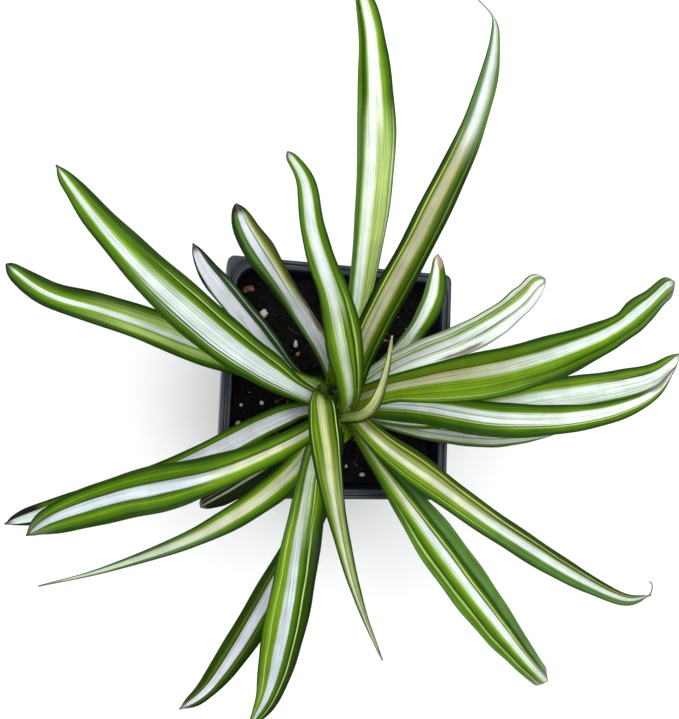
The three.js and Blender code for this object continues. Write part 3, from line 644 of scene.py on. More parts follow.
# %% Measures of the blades, in millimetres
CROWN_PLACE = Vector((0, -10, 0))
RUNS = {
    "leaf_centre_young": {
        "fold": (40, 20),
        "margins": [
            (0, 2, 2), (0.21, 2.2, 2.2), (0.36, 2.9, 2.9), (0.48, 2.8, 2.8), (0.63, 2, 2),
            (0.81, 1.2, 1.2), (0.92, 0.7, 0.7), (1, 0.3, 0.3),
        ],
        "midrib": [
            (-4, -16, 90), (-0.7, -15.3, 104), (2.8, -13.7, 112), (4.9, -10, 120), (5.6, -3.7, 128),
            (5.1, 4.4, 137), (3.7, 14.1, 146),
        ],
    },
    "leaf_centre_top": {
        "margins": [
            (0, 4.5, 2.8), (0.1, 6.8, 2.8), (0.2, 7.9, 3.8), (0.3, 8.5, 5), (0.38, 9.4, 5.8),
            (0.5, 7.9, 5.7), (0.6, 5.7, 4.9), (0.66, 5.6, 4.3), (0.75, 4.6, 4), (0.85, 3.6, 3.6),
            (0.92, 2.6, 2.8), (0.97, 2, 2), (1, 1.2, 1.3),
        ],
        "midrib": [
            (1.5, -13, 97), (-0.5, -6, 112), (-15, 21, 143), (-28.4, 45.8, 157), (-32, 61.4, 158),
            (-37.3, 72.7, 152.6),
        ],
    },
    "leaf_front_narrow": {
        "fold": (22, 10),
        "margins": [
            (0, 4, 3), (0.1, 4.6, 2.6), (0.18, 5.8, 2.8), (0.27, 6.5, 4.6), (0.36, 5.6, 6.1),
            (0.45, 4.3, 5.9), (0.54, 3.4, 4.1), (0.64, 2.9, 2.3), (0.73, 2.4, 1.4), (0.82, 1.5, 1),
            (0.91, 0.9, 0.6), (1, 0.3, 0.3),
        ],
        "midrib": [
            (-5, -3.5, 84), (-8, -4, 91), (-14.4, -9, 112), (-15.5, -28, 135), (-14, -48, 146),
            (-9, -67, 146), (-1, -84, 139), (10, -103, 128),
        ],
    },
    "leaf_back_right_long": {
        "margins": [
            (0, 4.5, 4.5), (0.1, 5.6, 5.4), (0.2, 6.2, 6), (0.3, 6.4, 6.1), (0.4, 5.6, 6.4),
            (0.5, 5.4, 6.2), (0.6, 4.7, 5.6), (0.7, 3.9, 4.6), (0.8, 3.1, 3.9), (0.87, 2, 2.7),
            (0.92, 1.3, 1.8), (0.955, 0.35, 0.5), (1, 0.3, 0.3),
        ],
        "midrib": [
            (0, -10, 97), (1, 13, 119), (14, 54, 146), (31, 95, 150), (42, 131, 142), (42.8, 142.5, 138.5),
            (38.1, 149.4, 136),
        ],
    },
    "leaf_back_left_long": {
        "margins": [
            (0, 3.6, 2.2), (0.1, 4.2, 2.6), (0.15, 4.6, 3.2), (0.2, 5, 4), (0.3, 6.2, 6.8),
            (0.4, 7.4, 7.4), (0.5, 8, 7.9), (0.6, 7.2, 7.6), (0.7, 5.6, 6.5), (0.8, 4.9, 5.1),
            (0.9, 3.4, 3.7), (0.95, 2.6, 2.5), (1, 0.3, 0.5),
        ],
        "midrib": [
            (0, -10, 96), (-16, -7, 107), (-45, 5, 129), (-79, 29, 141), (-97.3, 47.8, 136),
            (-113.5, 69, 121.5),
        ],
    },
    "leaf_right_long": {
        "fold": (30, -16), "tip": 0.06,
        "margins": [
            (0, 5, 4), (0.1, 5.6, 4.4), (0.15, 6.1, 5), (0.2, 6.4, 6.8), (0.3, 8.5, 8.9), (0.4, 8.8, 9),
            (0.5, 8.3, 8.7), (0.6, 7, 7.1), (0.68, 5.6, 6.3), (0.71, 5.5, 6.4), (0.75, 6.5, 6.7),
            (0.8, 6.3, 6.1), (0.86, 5.2, 5.4), (0.92, 4.5, 5.6), (0.97, 4.2, 6.4), (1, 3.4, 6.8),
        ],
        "midrib": [
            (0, -10, 96), (17, -3, 118), (52, 5, 138), (93, 20, 138), (120, 35, 129), (137.5, 46.4, 120),
            (146.2, 50.6, 115),
        ],
    },
    "leaf_left_broad": {
        "margins": [
            (0, 3.4, 3.4), (0.1, 3.7, 3.9), (0.2, 4.1, 4.5), (0.3, 4.7, 5.1), (0.4, 4.8, 6.1),
            (0.5, 5.8, 7.4), (0.56, 7.2, 7.7), (0.62, 8.2, 7.5), (0.7, 7.9, 6.4), (0.8, 6.7, 5.7),
            (0.9, 4.3, 3.9), (0.95, 2.4, 2.4), (1, 0.4, 0.4),
        ],
        "midrib": [
            (0, -10, 95), (-19, -22, 112), (-56, -37, 132), (-84, -43, 134), (-107, -53, 121),
            (-117, -61, 107),
        ],
    },
    "leaf_front_right_upper": {
        "margins": [
            (0, 3.5, 3.5), (0.1, 4.7, 4), (0.2, 6.4, 5.4), (0.26, 6.6, 6.1), (0.35, 5.7, 5.8),
            (0.5, 5.3, 5.1), (0.6, 5, 5), (0.7, 4.3, 4.1), (0.8, 3.4, 3), (0.88, 2.7, 2.4),
            (0.94, 1.6, 1.5), (0.98, 0.5, 0.5), (1, 0.3, 0.3),
        ],
        "midrib": [
            (0, -10, 95), (13, -26, 109), (33, -41, 121), (57, -57, 127), (96, -78, 125),
            (119.5, -87, 119), (137, -87.4, 112),
        ],
    },
    "leaf_front_long": {
        "margins": [
            (0, 4.4, 4), (0.2, 5.4, 4.4), (0.3, 6.2, 4.7), (0.4, 7.6, 5.2), (0.5, 7.8, 6.6), (0.6, 7.3, 8),
            (0.7, 6.6, 8), (0.8, 5.6, 6.3), (0.9, 3.9, 3.3), (0.95, 2.4, 1.6), (1, 0.4, 0.4),
        ],
        "midrib": [
            (0, -10, 94), (-14, -27, 111), (-23, -53, 130), (-27, -84, 133), (-30, -115, 120),
            (-36, -133, 109),
        ],
    },
    "leaf_back_tall": {
        "margins": [
            (0, 3.4, 3.4), (0.2, 4.2, 3.4), (0.3, 5.3, 5), (0.4, 5.7, 6.6), (0.5, 6.8, 7.3),
            (0.56, 7.4, 7.6), (0.62, 7.8, 7.4), (0.7, 7, 6.4), (0.8, 5.6, 5.5), (0.9, 4, 4.6),
            (0.96, 2.3, 2.6), (1, 0.3, 0.3),
        ],
        "midrib": [
            (0, -10, 93), (-1, 17, 112), (-2, 54, 129), (-2, 92, 135), (-3, 132, 128), (-6, 164, 115),
        ],
    },
    "leaf_right_upper": {
        "fold": (30, -16), "tip": 0.09,
        "margins": [
            (0, 4, 2.6), (0.1, 5, 2.6), (0.2, 5.9, 2.8), (0.3, 5.6, 4), (0.4, 6, 5.3), (0.5, 5.7, 6.6),
            (0.6, 5.2, 7.3), (0.7, 5.2, 6.7), (0.8, 5.9, 5.6), (0.87, 5, 5.4), (0.95, 4.3, 5.8),
            (1, 3.6, 6.2),
        ],
        "midrib": [
            (0, -10, 92), (18, 6, 109), (41, 18, 121), (68, 35, 119), (77.2, 43.7, 114.8),
            (84.2, 47.2, 110.8),
        ],
    },
    "leaf_back_left_inner": {
        "margins": [
            (0, 4, 4), (0.2, 3.6, 3.8), (0.3, 3.4, 3.6), (0.4, 3.6, 4.4), (0.5, 3.6, 4.2), (0.6, 4.2, 4.5),
            (0.7, 5.1, 5.3), (0.8, 5.7, 5.8), (0.9, 4.6, 4.4), (0.95, 3.3, 3.3), (1, 1.2, 1.2),
        ],
        "midrib": [(0, -10, 92), (-10, 8, 103), (-30.2, 30.7, 120), (-45.4, 50.4, 123), (-50.5, 63, 119)],
    },
    "leaf_right_swept": {
        "margins": [
            (0, 3.6, 4.6), (0.1, 4, 6), (0.2, 4.8, 7), (0.3, 6.6, 7.5), (0.4, 7, 7.1), (0.5, 6.4, 6.1),
            (0.6, 5.3, 5.4), (0.7, 4, 4.9), (0.8, 2.9, 4), (0.9, 2.1, 2.1), (0.95, 1.3, 1.2),
            (1, 0.3, 0.3),
        ],
        "midrib": [
            (0, -10, 92), (29, -10, 108), (60, -14, 118), (100, -11, 119), (140, 1, 110), (158, 14, 102),
        ],
    },
    "leaf_front_left_thin": {
        "margins": [
            (0, 4, 4), (0.1, 5, 4.8), (0.2, 5.8, 5.3), (0.3, 6, 5.4), (0.4, 5.1, 5.2), (0.5, 4.3, 4.5),
            (0.6, 3.1, 3.4), (0.7, 2.2, 2.2), (0.8, 1.4, 1.2), (0.9, 0.8, 0.5), (1, 0.3, 0.3),
        ],
        "midrib": [(0, -10, 91), (-25, -39, 108), (-53, -57, 118), (-86, -70, 117), (-112, -79, 106)],
    },
    "leaf_left_under": {
        "margins": [
            (0, 4.5, 4.5), (0.1, 5, 4.9), (0.15, 5.2, 3.2), (0.22, 5.6, 3), (0.3, 6.2, 4.8), (0.4, 6.9, 6),
            (0.5, 7, 6.5), (0.6, 5.8, 6.6), (0.7, 5.6, 6), (0.8, 5, 5), (0.88, 4.4, 4.4), (0.95, 3.6, 2.9),
            (1, 1.4, 1.6),
        ],
        "midrib": [
            (0, -10, 90), (-19, -1, 99), (-55, 8, 112), (-94, 19, 118), (-115, 25, 113), (-131, 36, 103),
        ],
    },
    "leaf_front_right_lower": {
        "fold": (30, -34), "tip": 0.05,
        "margins": [
            (0, 2, 2.4), (0.1, 2.2, 2.8), (0.2, 3.6, 4.2), (0.3, 6.7, 6.4), (0.4, 8.6, 8.7), (0.5, 8.8, 9),
            (0.6, 8.5, 8.8), (0.7, 7.3, 8), (0.8, 5.9, 6.4), (0.88, 5.2, 5.2), (0.95, 4.5, 4.6),
            (1, 3.8, 3.8),
        ],
        "midrib": [
            (0, -10, 90), (10, -28, 101), (28, -54, 112), (50.4, -82.5, 117), (84, -117, 106),
            (95, -126, 97.5), (99, -128.4, 93),
        ],
    },
    "leaf_left_behind": {
        "margins": [
            (0, 2.4, 2.6), (0.15, 3.4, 3.8), (0.2, 4.6, 4.1), (0.3, 5.3, 4.2), (0.5, 5.4, 4),
            (0.7, 5.2, 3.9), (0.85, 4.2, 3.8), (0.92, 3.1, 3.4), (0.97, 1.5, 2), (1, 0.3, 0.3),
        ],
        "midrib": [(0, -10, 89), (-25, -15, 101), (-69, -36, 117), (-112, -53, 105), (-126.4, -58.8, 96)],
    },
    "leaf_back_left_short": {
        "margins": [
            (0, 4, 2.6), (0.2, 4.4, 2.4), (0.3, 4.6, 3), (0.4, 5, 4.4), (0.5, 5.3, 5.4), (0.6, 5, 5.4),
            (0.7, 4.6, 4.8), (0.8, 4.8, 4.8), (0.86, 4.1, 4), (0.92, 3, 3), (0.96, 2, 2), (1, 0.4, 0.4),
        ],
        "midrib": [(0, -10, 88), (-25, 4, 99), (-49, 27, 111), (-59.5, 39.2, 110), (-65, 49, 108)],
    },
    "leaf_back_right_dry": {
        "margins": [
            (0, 3, 3), (0.3, 3.2, 3.4), (0.5, 3.4, 3.7), (0.6, 3.8, 4.3), (0.7, 4.6, 4.7), (0.8, 4.3, 4.6),
            (0.9, 2.7, 3.6), (0.96, 2, 2.4), (1, 0.8, 1),
        ],
        "midrib": [(0, -10, 88), (22, 14, 103), (31, 33, 113), (35, 54, 109)],
    },
    "leaf_right_lower": {
        "margins": [
            (0, 5, 5), (0.2, 6, 6), (0.45, 7, 7), (0.6, 6.9, 7.5), (0.75, 6.3, 7.2), (0.85, 5.3, 6.3),
            (0.93, 4, 4.6), (1, 0.4, 0.4),
        ],
        "midrib": [
            (0, -10, 88), (33, -13, 100), (79, -4, 109), (123, 3.7, 106), (148, 10.5, 101),
            (166.5, 21, 95),
        ],
    },
    "leaf_front_left_under": {
        "margins": [
            (0, 3.6, 3.6), (0.25, 5, 4.6), (0.5, 6.6, 5.2), (0.6, 7, 5.3), (0.7, 6.9, 5.5),
            (0.8, 5.5, 5.4), (0.9, 3.8, 3.8), (0.95, 2.9, 2.6), (1, 0.4, 0.4),
        ],
        "midrib": [
            (0, -10, 88), (-8, -45, 98), (-30, -82, 108), (-46, -113, 102), (-52, -122.2, 98),
            (-60, -130, 93),
        ],
    },
    "leaf_right_pale": {
        "margins": [
            (0, 3, 3), (0.2, 4, 3.6), (0.4, 4.8, 4.6), (0.6, 5, 5), (0.7, 4.7, 4.6), (0.8, 3.8, 3.7),
            (0.9, 2.6, 2.5), (1, 0.6, 0.8),
        ],
        "midrib": [(0, -10, 87), (29, -18, 96), (61, -21, 102), (100, -19, 95)],
    },
    "leaf_left_shaded": {
        "margins": [
            (0, 3.4, 3.4), (0.3, 4.8, 4), (0.5, 5, 2.8), (0.7, 5, 2.8), (0.85, 4.2, 3), (0.95, 2.6, 3.2),
            (1, 0.9, 2),
        ],
        "midrib": [(0, -10, 87), (-21, -29, 95), (-43, -44, 98), (-56, -53, 92)],
    },
}
print(len(RUNS), "blades measured")

# %% The midrib's curve
CURVE_STEPS = 24


def midrib_curve(points):
    """The midrib as many short steps through its points."""
    stops = [Vector(point) for point in points]
    stops = [2 * stops[0] - stops[1]] + stops + [2 * stops[-1] - stops[-2]]
    curve = [stops[1]]
    for before, start, end, after in zip(stops, stops[1:], stops[2:], stops[3:]):
        a, b, c = [math.sqrt((q - p).length) for p, q in ((before, start), (start, end), (end, after))]
        leave = ((start - before) / a - (end - before) / (a + b) + (end - start) / b) * b
        arrive = ((end - start) / b - (after - start) / (b + c) + (after - end) / c) * b
        curve += geometry.interpolate_bezier(start, start + leave / 3, end - arrive / 3, end, CURVE_STEPS)[1:]
    return curve


def even_steps(curve, count):
    """The same curve as count + 1 points at equal distances along it, each with its direction."""
    reached = [0.0]
    for here, there in zip(curve, curve[1:]):
        reached.append(reached[-1] + (there - here).length)
    steps, piece = [], 0
    for i in range(count + 1):
        wanted = reached[-1] * i / count
        while piece < len(curve) - 2 and reached[piece + 1] < wanted:
            piece += 1
        share = (wanted - reached[piece]) / (reached[piece + 1] - reached[piece])
        steps.append(curve[piece].lerp(curve[piece + 1], share))
    ways = [(after - before).normalized() for before, after in zip(steps, steps[2:])]
    return list(zip(steps, [ways[0]] + ways + [ways[-1]]))


def curve_length(curve):
    """How long a curve of short steps is."""
    return sum((there - here).length for here, there in zip(curve, curve[1:]))


lengths = {name: curve_length(midrib_curve(run["midrib"])) for name, run in RUNS.items()}
print("longest blade:", round(max(lengths.values())), "mm, shortest:", round(min(lengths.values())), "mm")

# %% [markdown]
# ## One blade
#
# A blade is a thin channel with two slightly bulging wings and a rounded keel, about half a millimetre
# thick and thinner still at its margins. The mesh starts as a flat grid. An extrusion gives it its second
# skin while it is flat, the map is written, and then every point is moved to its place on the bent blade.
# Doing it in that order keeps the map exact and both skins alike. Low ribs run along it, its margins ripple
# a little, and its last bit is rounded off.

# %% The blade's section, in millimetres
BLADE_LENGTHS = 96
BLADE_WIDTHS = 28
BLADE_THICK = 0.5
MARGIN_THIN = 0.6
FOLD = (28, 12)
TIP_REACH = 0.3
TIP_SHARE = 0.03
KEEL_SOFT = 0.14
WING_BULGE = 0.06
RIB_HEIGHT = 0.05
RIB_COUNT = 3
# ripples lift a margin and waves push it outwards: their sizes, their numbers and how far they lean
RIPPLE = 0.26
RIPPLE_COUNT = 4
RIPPLE_LEAN = 2.1
RIPPLE_FULL = 6
MARGIN_WAVES = 0.015
WAVE_COUNT = 7
WAVE_LEAN = 4


def smooth_value(rows, u, index):
    """A value between a table's rows at share u, along a curve that bends smoothly from row to row."""
    last = len(rows) - 1
    after = next((i for i in range(1, last) if rows[i][0] >= u), last)

    def slope(start, end):
        return (rows[end][index] - rows[start][index]) / (rows[end][0] - rows[start][0])

    low, high = rows[after - 1], rows[after]
    span = high[0] - low[0]
    leave, arrive = span * slope(max(after - 2, 0), after), span * slope(after - 1, min(after + 1, last))
    t = (u - low[0]) / span
    ease = t * t * (3 - 2 * t)
    return low[index] + (high[index] - low[index]) * ease + t * (1 - t) * (leave * (1 - t) - arrive * t)


def sway(u, count, phase, lean):
    """A wave along the blade, between -1 and 1."""
    return math.sin(2 * math.pi * (count * u + phase) + lean)


def blade_point(run, step, u, v, skin, phase):
    """Where the map's point u, v lies on the bent blade. skin is 1 for the upper one, -1 for the lower."""
    middle, way = step
    side = Vector((0, 0, 1)).cross(way).normalized()
    normal = way.cross(side)
    fold_foot, fold_tip = run.get("fold", FOLD)
    fold = math.radians(fold_foot + (fold_tip - fold_foot) * u * u)
    across = 1 - 2 * v
    reach = smooth_value(run["margins"], u, 1 if across > 0 else 2)
    reach *= 1 + MARGIN_WAVES * sway(u, WAVE_COUNT, phase, WAVE_LEAN * across)
    reach *= math.sqrt(max(1 - max(1 - (1 - u) / run.get("tip", TIP_SHARE), 0) ** 2, 0))
    reach = max(reach, TIP_REACH)
    wing = abs(across)
    rise = (math.hypot(wing, KEEL_SOFT) - KEEL_SOFT) * math.tan(fold) + WING_BULGE * math.sin(math.pi * wing)
    rise = reach * rise + RIB_HEIGHT * math.cos(2 * math.pi * RIB_COUNT * wing)
    ripple = RIPPLE * sway(u, RIPPLE_COUNT, phase, RIPPLE_LEAN * across)
    rise += ripple * wing ** 3 * min(reach / RIPPLE_FULL, 1)
    thick = BLADE_THICK * (1 - MARGIN_THIN * wing ** 4)
    return (middle + side * (across * reach) + normal * (rise + skin * thick / 2)) * MM


# %% Making a blade
SEED_STEP = 3.7
PHASE_STEP = 0.37


def new_piece(name, bm, material, slot, *nodes):
    """A finished mesh as a piece that rides on the root body and stands for its nodes."""
    mesh = bpy.data.meshes.new(name)
    bm.to_mesh(mesh)
    bm.free()
    mesh.shade_smooth()
    mesh.materials.append(material)
    piece = bpy.data.objects.new(name, mesh)
    bpy.context.scene.collection.objects.link(piece)
    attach(piece, "root")
    if nodes:
        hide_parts(*nodes)
    return piece


def to_metres(bm):
    """The same mesh, from millimetres to metres."""
    bmesh.ops.scale(bm, vec=(MM, MM, MM), verts=bm.verts)
    return bm


def make_blade(run, seed):
    """The two skins of one blade, bent into place, with its map."""
    bm = bmesh.new()
    bmesh.ops.create_grid(bm, x_segments=BLADE_LENGTHS, y_segments=BLADE_WIDTHS, size=1)
    lower = list(bm.faces)
    copied = bmesh.ops.extrude_face_region(bm, geom=lower, use_keep_orig=True)
    bmesh.ops.reverse_faces(bm, faces=lower)
    upper = {part for part in copied["geom"] if isinstance(part, bmesh.types.BMVert)}
    lower = set(lower)
    blade_map = bm.loops.layers.uv.new(BLADE_MAP)
    for face in bm.faces:
        for loop in face.loops:
            flat = loop.vert.co
            loop[blade_map].uv = ((flat.x + 1) / 2, (1 - flat.y) / 2 + (face in lower))
    steps = even_steps(midrib_curve(run["midrib"]), BLADE_LENGTHS)
    for vert in bm.verts:
        u, v = (vert.co.x + 1) / 2, (1 - vert.co.y) / 2
        step = steps[round(u * BLADE_LENGTHS)]
        vert.co = blade_point(run, step, u, v, 1 if vert in upper else -1, seed * PHASE_STEP)
    return bm


for seed, (name, run) in enumerate(RUNS.items(), start=1):
    skin = blade_material(name, seed * SEED_STEP, MARKS[name])
    new_piece(name.replace("leaf", "blade"), make_blade(run, seed), skin, "leaf", name)
print(len(RUNS), "blades of", 4 * BLADE_LENGTHS * BLADE_WIDTHS, "triangles on their skins")

# %% [markdown]
# ## The pot
#
# A nursery pot is blown or pressed from thin black plastic: a square that tapers down to a pierced floor,
# with a stiff rim that turns down outside. Round its top runs a groove, which sets off a bead that the
# light catches. It is built as rings from the inside of the floor, up and over the rim, and down to the
# foot. The first is a square whose corners are bevelled round, and each next one is extruded from the one
# before.

# %% Rings of the pot, in millimetres
CORNER_STEPS = 8
POT_RINGS = [
    # half the width, the corner's radius, the height
    (35.8, 4.8, 1.8),
    (37.0, 5.2, 12),
    (41.2, 6.6, 50),
    (44.4, 7.7, 78),
    (45.4, 8.1, 87.6),
    (45.6, 8.3, 89.2),
    (46.0, 8.7, 89.85),
    (46.5, 9.2, 90),
    (47.0, 9.7, 89.75),
    (47.2, 9.9, 89.2),
    (47.3, 10, 88.7),
    (48.1, 10.2, 88.7),
    (48.25, 8, 89.5),
    (48.55, 6, 89.85),
    (49.3, 3.6, 89.9),
    (49.8, 3.4, 89.6),
    (50.0, 3.2, 89),
    (49.6, 3.2, 78.3),
    (49.3, 3.0, 78),
    (48.7, 2.4, 78),
    (48.4, 2.2, 78.4),
    (48.5, 2.4, 86.5),
    (47.2, 8.6, 87.8),
    (46.9, 9.4, 86.5),
    (45.6, 9.0, 78),
    (41.5, 7.7, 40),
    (37.6, 6.2, 5),
    (37.0, 6.0, 1.2),
    (36.2, 5.2, 0.2),
    (35.6, 4.8, 0),
]
DRAIN_RADIUS = 4
DRAIN_REACH = 25
DRAIN_CORNER = 1.3
DRAIN_COUNT = 8
DRAIN_SIDES = 28


def new_edges(bm, make):
    """The edges that a step of modelling adds."""
    old = set(bm.edges)
    make()
    return [edge for edge in bm.edges if edge not in old]


def first_ring(bm, half, corner, z):
    """The edges of a level square ring with rounded corners."""
    def rounded():
        made = bmesh.ops.create_grid(
            bm, x_segments=1, y_segments=1, size=half * MM, matrix=Matrix.Translation((0, 0, z * MM)))
        bmesh.ops.bevel(
            bm, geom=made["verts"], affect="VERTICES", offset=corner * MM, offset_type="OFFSET",
            segments=CORNER_STEPS, profile=0.5, material=-1)

    ring = new_edges(bm, rounded)
    faces = {face for edge in ring for face in edge.link_faces}
    bmesh.ops.delete(bm, geom=list(faces), context="FACES_ONLY")
    return ring


def next_ring(bm, ring, size, target):
    """Extrudes a ring's edges and moves the new ones to another half width, corner and height."""
    made = bmesh.ops.extrude_edge_only(bm, edges=ring)["geom"]
    fresh = {part for part in made if isinstance(part, bmesh.types.BMVert)}
    centre, wanted = (size[0] - size[1]) * MM, (target[0] - target[1]) * MM
    for vert in fresh:
        signs = Vector((math.copysign(1, vert.co.x), math.copysign(1, vert.co.y)))
        corner = (vert.co.xy - signs * centre) * (target[1] / size[1])
        vert.co = (*(signs * wanted + corner), target[2] * MM)
    return [part for part in made if isinstance(part, bmesh.types.BMEdge) and set(part.verts) <= fresh]


def drain_rings(bm, z):
    """The edges of the drain holes at one side of the floor, a ring for each."""
    rings = []
    for i in range(DRAIN_COUNT):
        angle = 2 * math.pi * i / DRAIN_COUNT
        reach = DRAIN_REACH * (DRAIN_CORNER if i % 2 else 1) * MM
        place = Matrix.Translation((reach * math.cos(angle), reach * math.sin(angle), z * MM))
        rings.append(new_edges(bm, lambda: bmesh.ops.create_circle(
            bm, cap_ends=False, radius=DRAIN_RADIUS * MM, segments=DRAIN_SIDES, matrix=place)))
    return rings


def make_pot():
    """The pot's wall, rim and pierced floor as one closed shell."""
    bm = bmesh.new()
    rings = [first_ring(bm, *POT_RINGS[0])]
    for size, target in zip(POT_RINGS, POT_RINGS[1:]):
        rings.append(next_ring(bm, rings[-1], size, target))
    sides = []
    for ring, (_, _, z) in ((rings[0], POT_RINGS[0]), (rings[-1], POT_RINGS[-1])):
        holes = drain_rings(bm, z)
        sides.append(holes)
        bmesh.ops.triangle_fill(bm, edges=ring + sum(holes, []), use_beauty=True)
    for above, below in zip(*sides):
        bmesh.ops.bridge_loops(bm, edges=above + below)
    bmesh.ops.recalc_face_normals(bm, faces=bm.faces)
    return bm


# %% [markdown]
# ## Black plastic
#
# The plastic is nearly black with a cold blue cast, and satin rather than glossy, because the mould was
# sand blasted. It shows three things at close range: a fine grain, a dusting of dried peat on what faces
# up, and paler scuffs. All three are noise at unlike scales on object coordinates, so they sit still on the
# pot. Below the rim the inside is darkened to near black: painted shade, for the shade the leaves cast in.

# %% Group: moulded plastic
GRAIN_SCALE = 3600.0
DUST_SCALE = 70.0
SCUFF_SCALE = 420.0
SCUFF_STRETCH = (1.0, 1.0, 0.12)
SCUFF_SPAN = (0.6, 0.74)
SCUFF_CLOUDS = (0.45, 0.6)
SCUFF_SHARE = 0.16
SCUFF_DEPTH = -0.6
DUST_FACING = (0.2, 0.95)
DUST_STEEP = 0.25
DUST_SPAN = (0.38, 0.66)
DUST_ROUGHER = 0.6
CLOUDS_ROUGHER = 0.16
# painted shade on the inside below the rim, in metres from the pot's axis and above its foot
SHADE_INSIDE_HALF = (0.0452, 0.0462)
SHADE_INSIDE_HEIGHT = (0.0875, 0.0895)
SHADE_INSIDE_SHARE = 0.75

moulded_plastic, given, result = shader_group(
    "moulded plastic",
    [
        ("Plastic", "Color", BLACK),
        ("Dust", "Color", WHITE),
        ("Dust share", "Float", 0.2),
        ("Gloss", "Float", 0.4),
    ],
    [("Color", "Color"), ("Roughness", "Float"), ("Height", "Float")],
)
tree = moulded_plastic
body_place = shader_node(tree, "TexCoord").outputs["Object"]
grain = noise_at(tree, body_place, GRAIN_SCALE, 2.0)
clouds = noise_at(tree, body_place, DUST_SCALE, 5.0)
stretched = shader_node(tree, "Mapping", {"Vector": body_place, "Scale": SCUFF_STRETCH}).outputs[0]
scuffs = fade(tree, noise_at(tree, stretched, SCUFF_SCALE, 3.0), *SCUFF_SPAN)
scuffs = calc(tree, "MULTIPLY", scuffs, fade(tree, clouds, *SCUFF_CLOUDS))
facing = shader_node(tree, "NewGeometry").outputs["Normal"]
upward = shader_node(tree, "SeparateXYZ", {"Vector": facing}).outputs["Z"]
upward = fade(tree, upward, *DUST_FACING, DUST_STEEP, 1.0)
dust = calc(tree, "MULTIPLY", upward, fade(tree, clouds, *DUST_SPAN))
dust = calc(tree, "MULTIPLY", dust, given["Dust share"])
plastic = blend_colours(tree, dust, given["Plastic"], given["Dust"])
plastic = blend_colours(tree, calc(tree, "MULTIPLY", scuffs, SCUFF_SHARE), plastic, given["Dust"])
sides = shader_node(tree, "SeparateXYZ", {"Vector": body_place})
off_axis = [calc(tree, "ABSOLUTE", sides.outputs[axis]) for axis in ("X", "Y")]
# painted shade: the inside below the rim is darkened towards black, for the shade the leaves cast into the
# pot
inside = fade(tree, calc(tree, "MAXIMUM", *off_axis), *SHADE_INSIDE_HALF, SHADE_INSIDE_SHARE, 0.0)
painted_shade = calc(tree, "MULTIPLY", inside, fade(tree, sides.outputs["Z"], *SHADE_INSIDE_HEIGHT, 1.0, 0.0))
plastic = blend_colours(tree, painted_shade, plastic, BLACK)
rough = calc(tree, "MULTIPLY_ADD", clouds, CLOUDS_ROUGHER, given["Gloss"])
rough = calc(tree, "MULTIPLY_ADD", dust, DUST_ROUGHER, rough)
feed(tree, result["Color"], plastic)
feed(tree, result["Roughness"], rough)
feed(tree, result["Height"], calc(tree, "MULTIPLY_ADD", scuffs, SCUFF_DEPTH, grain))
print("group:", moulded_plastic.name)

# %% The pot's finish
PLASTIC_COLOUR = linear(27, 32, 46)
DUST_COLOUR = linear(70, 74, 84)
PLASTIC_RELIEF = (0.0001, 0.25)
SHARP_EDGE = math.radians(50)

pot_plastic, tree, shader = principled("pot_plastic")
look = place_group(
    tree, moulded_plastic, Plastic=PLASTIC_COLOUR, Dust=DUST_COLOUR, Dust_share=0.25, Gloss=0.34)
set_surface(tree, shader, look["Color"], look["Roughness"], look["Height"], PLASTIC_RELIEF)
pot = new_piece("nursery_pot", make_pot(), pot_plastic, "pot_plastic", "pot")
pot.data.set_sharp_from_angle(angle=SHARP_EDGE)
print("pot:", len(pot.data.polygons), "faces")

# %% [markdown]
# ## The soil
#
# Potting soil is peat: near black when moist, made of crumbs and fibres of every size, with white grains of
# perlite and chips of bark. Only its top is seen, and through the drain holes a little of its underside.
# The bed is a fine grid, pulled in at the corners to the pot's inside, lifted by the same waves as the
# solid's surface and roughened by noise. Crumbs on top of it give the outline that noise alone can't.

# %% Shape of the bed, in millimetres
SOIL_LEVEL = 80.5
SOIL_HEAP = 3
SOIL_HEAP_REACH = 26
SOIL_LUMP = 0.9
# the lengths of the short lumps along x and y, and of the long swell under them
LUMP_LENGTHS = (3.1, 2.7)
SWELL_LENGTHS = (6.3, 5.1)
SWELL_SHARE = 0.7
BED_HALF = 44.2
BED_CORNER = 7.2
BED_FOOT_HALF = 35.4
BED_FOOT = 2.1
BED_CELLS = 150
BED_ROUGH = 0.9
ROUGH_LENGTH = 3.2


def soil_waves(x, y):
    """The height of the solid's surface."""
    heap = SOIL_HEAP * math.exp(-((Vector((x, y)) - CROWN_PLACE.xy).length / SOIL_HEAP_REACH) ** 2)
    lumps = math.sin(x / LUMP_LENGTHS[0] + 1) * math.cos(y / LUMP_LENGTHS[1])
    lumps += SWELL_SHARE * math.sin(x / SWELL_LENGTHS[0] - y / SWELL_LENGTHS[1])
    return SOIL_LEVEL + heap + SOIL_LUMP * lumps


def soil_height(x, y):
    """The height of the rough bed."""
    coarse = noise.fractal(Vector((x, y, 3)) / ROUGH_LENGTH, 0.9, 2.1, 4)
    return soil_waves(x, y) + BED_ROUGH * coarse


def inside_corner(x, y):
    """A point of the square bed, pulled onto the rounded corner if it lies beyond it."""
    centre = BED_HALF - BED_CORNER
    over = Vector((max(abs(x) - centre, 0), max(abs(y) - centre, 0)))
    if over.x > 0 and over.y > 0:
        square = max(over.x, over.y)
        over *= square / over.length
    return math.copysign(min(abs(x), centre) + over.x, x), math.copysign(min(abs(y), centre) + over.y, y)


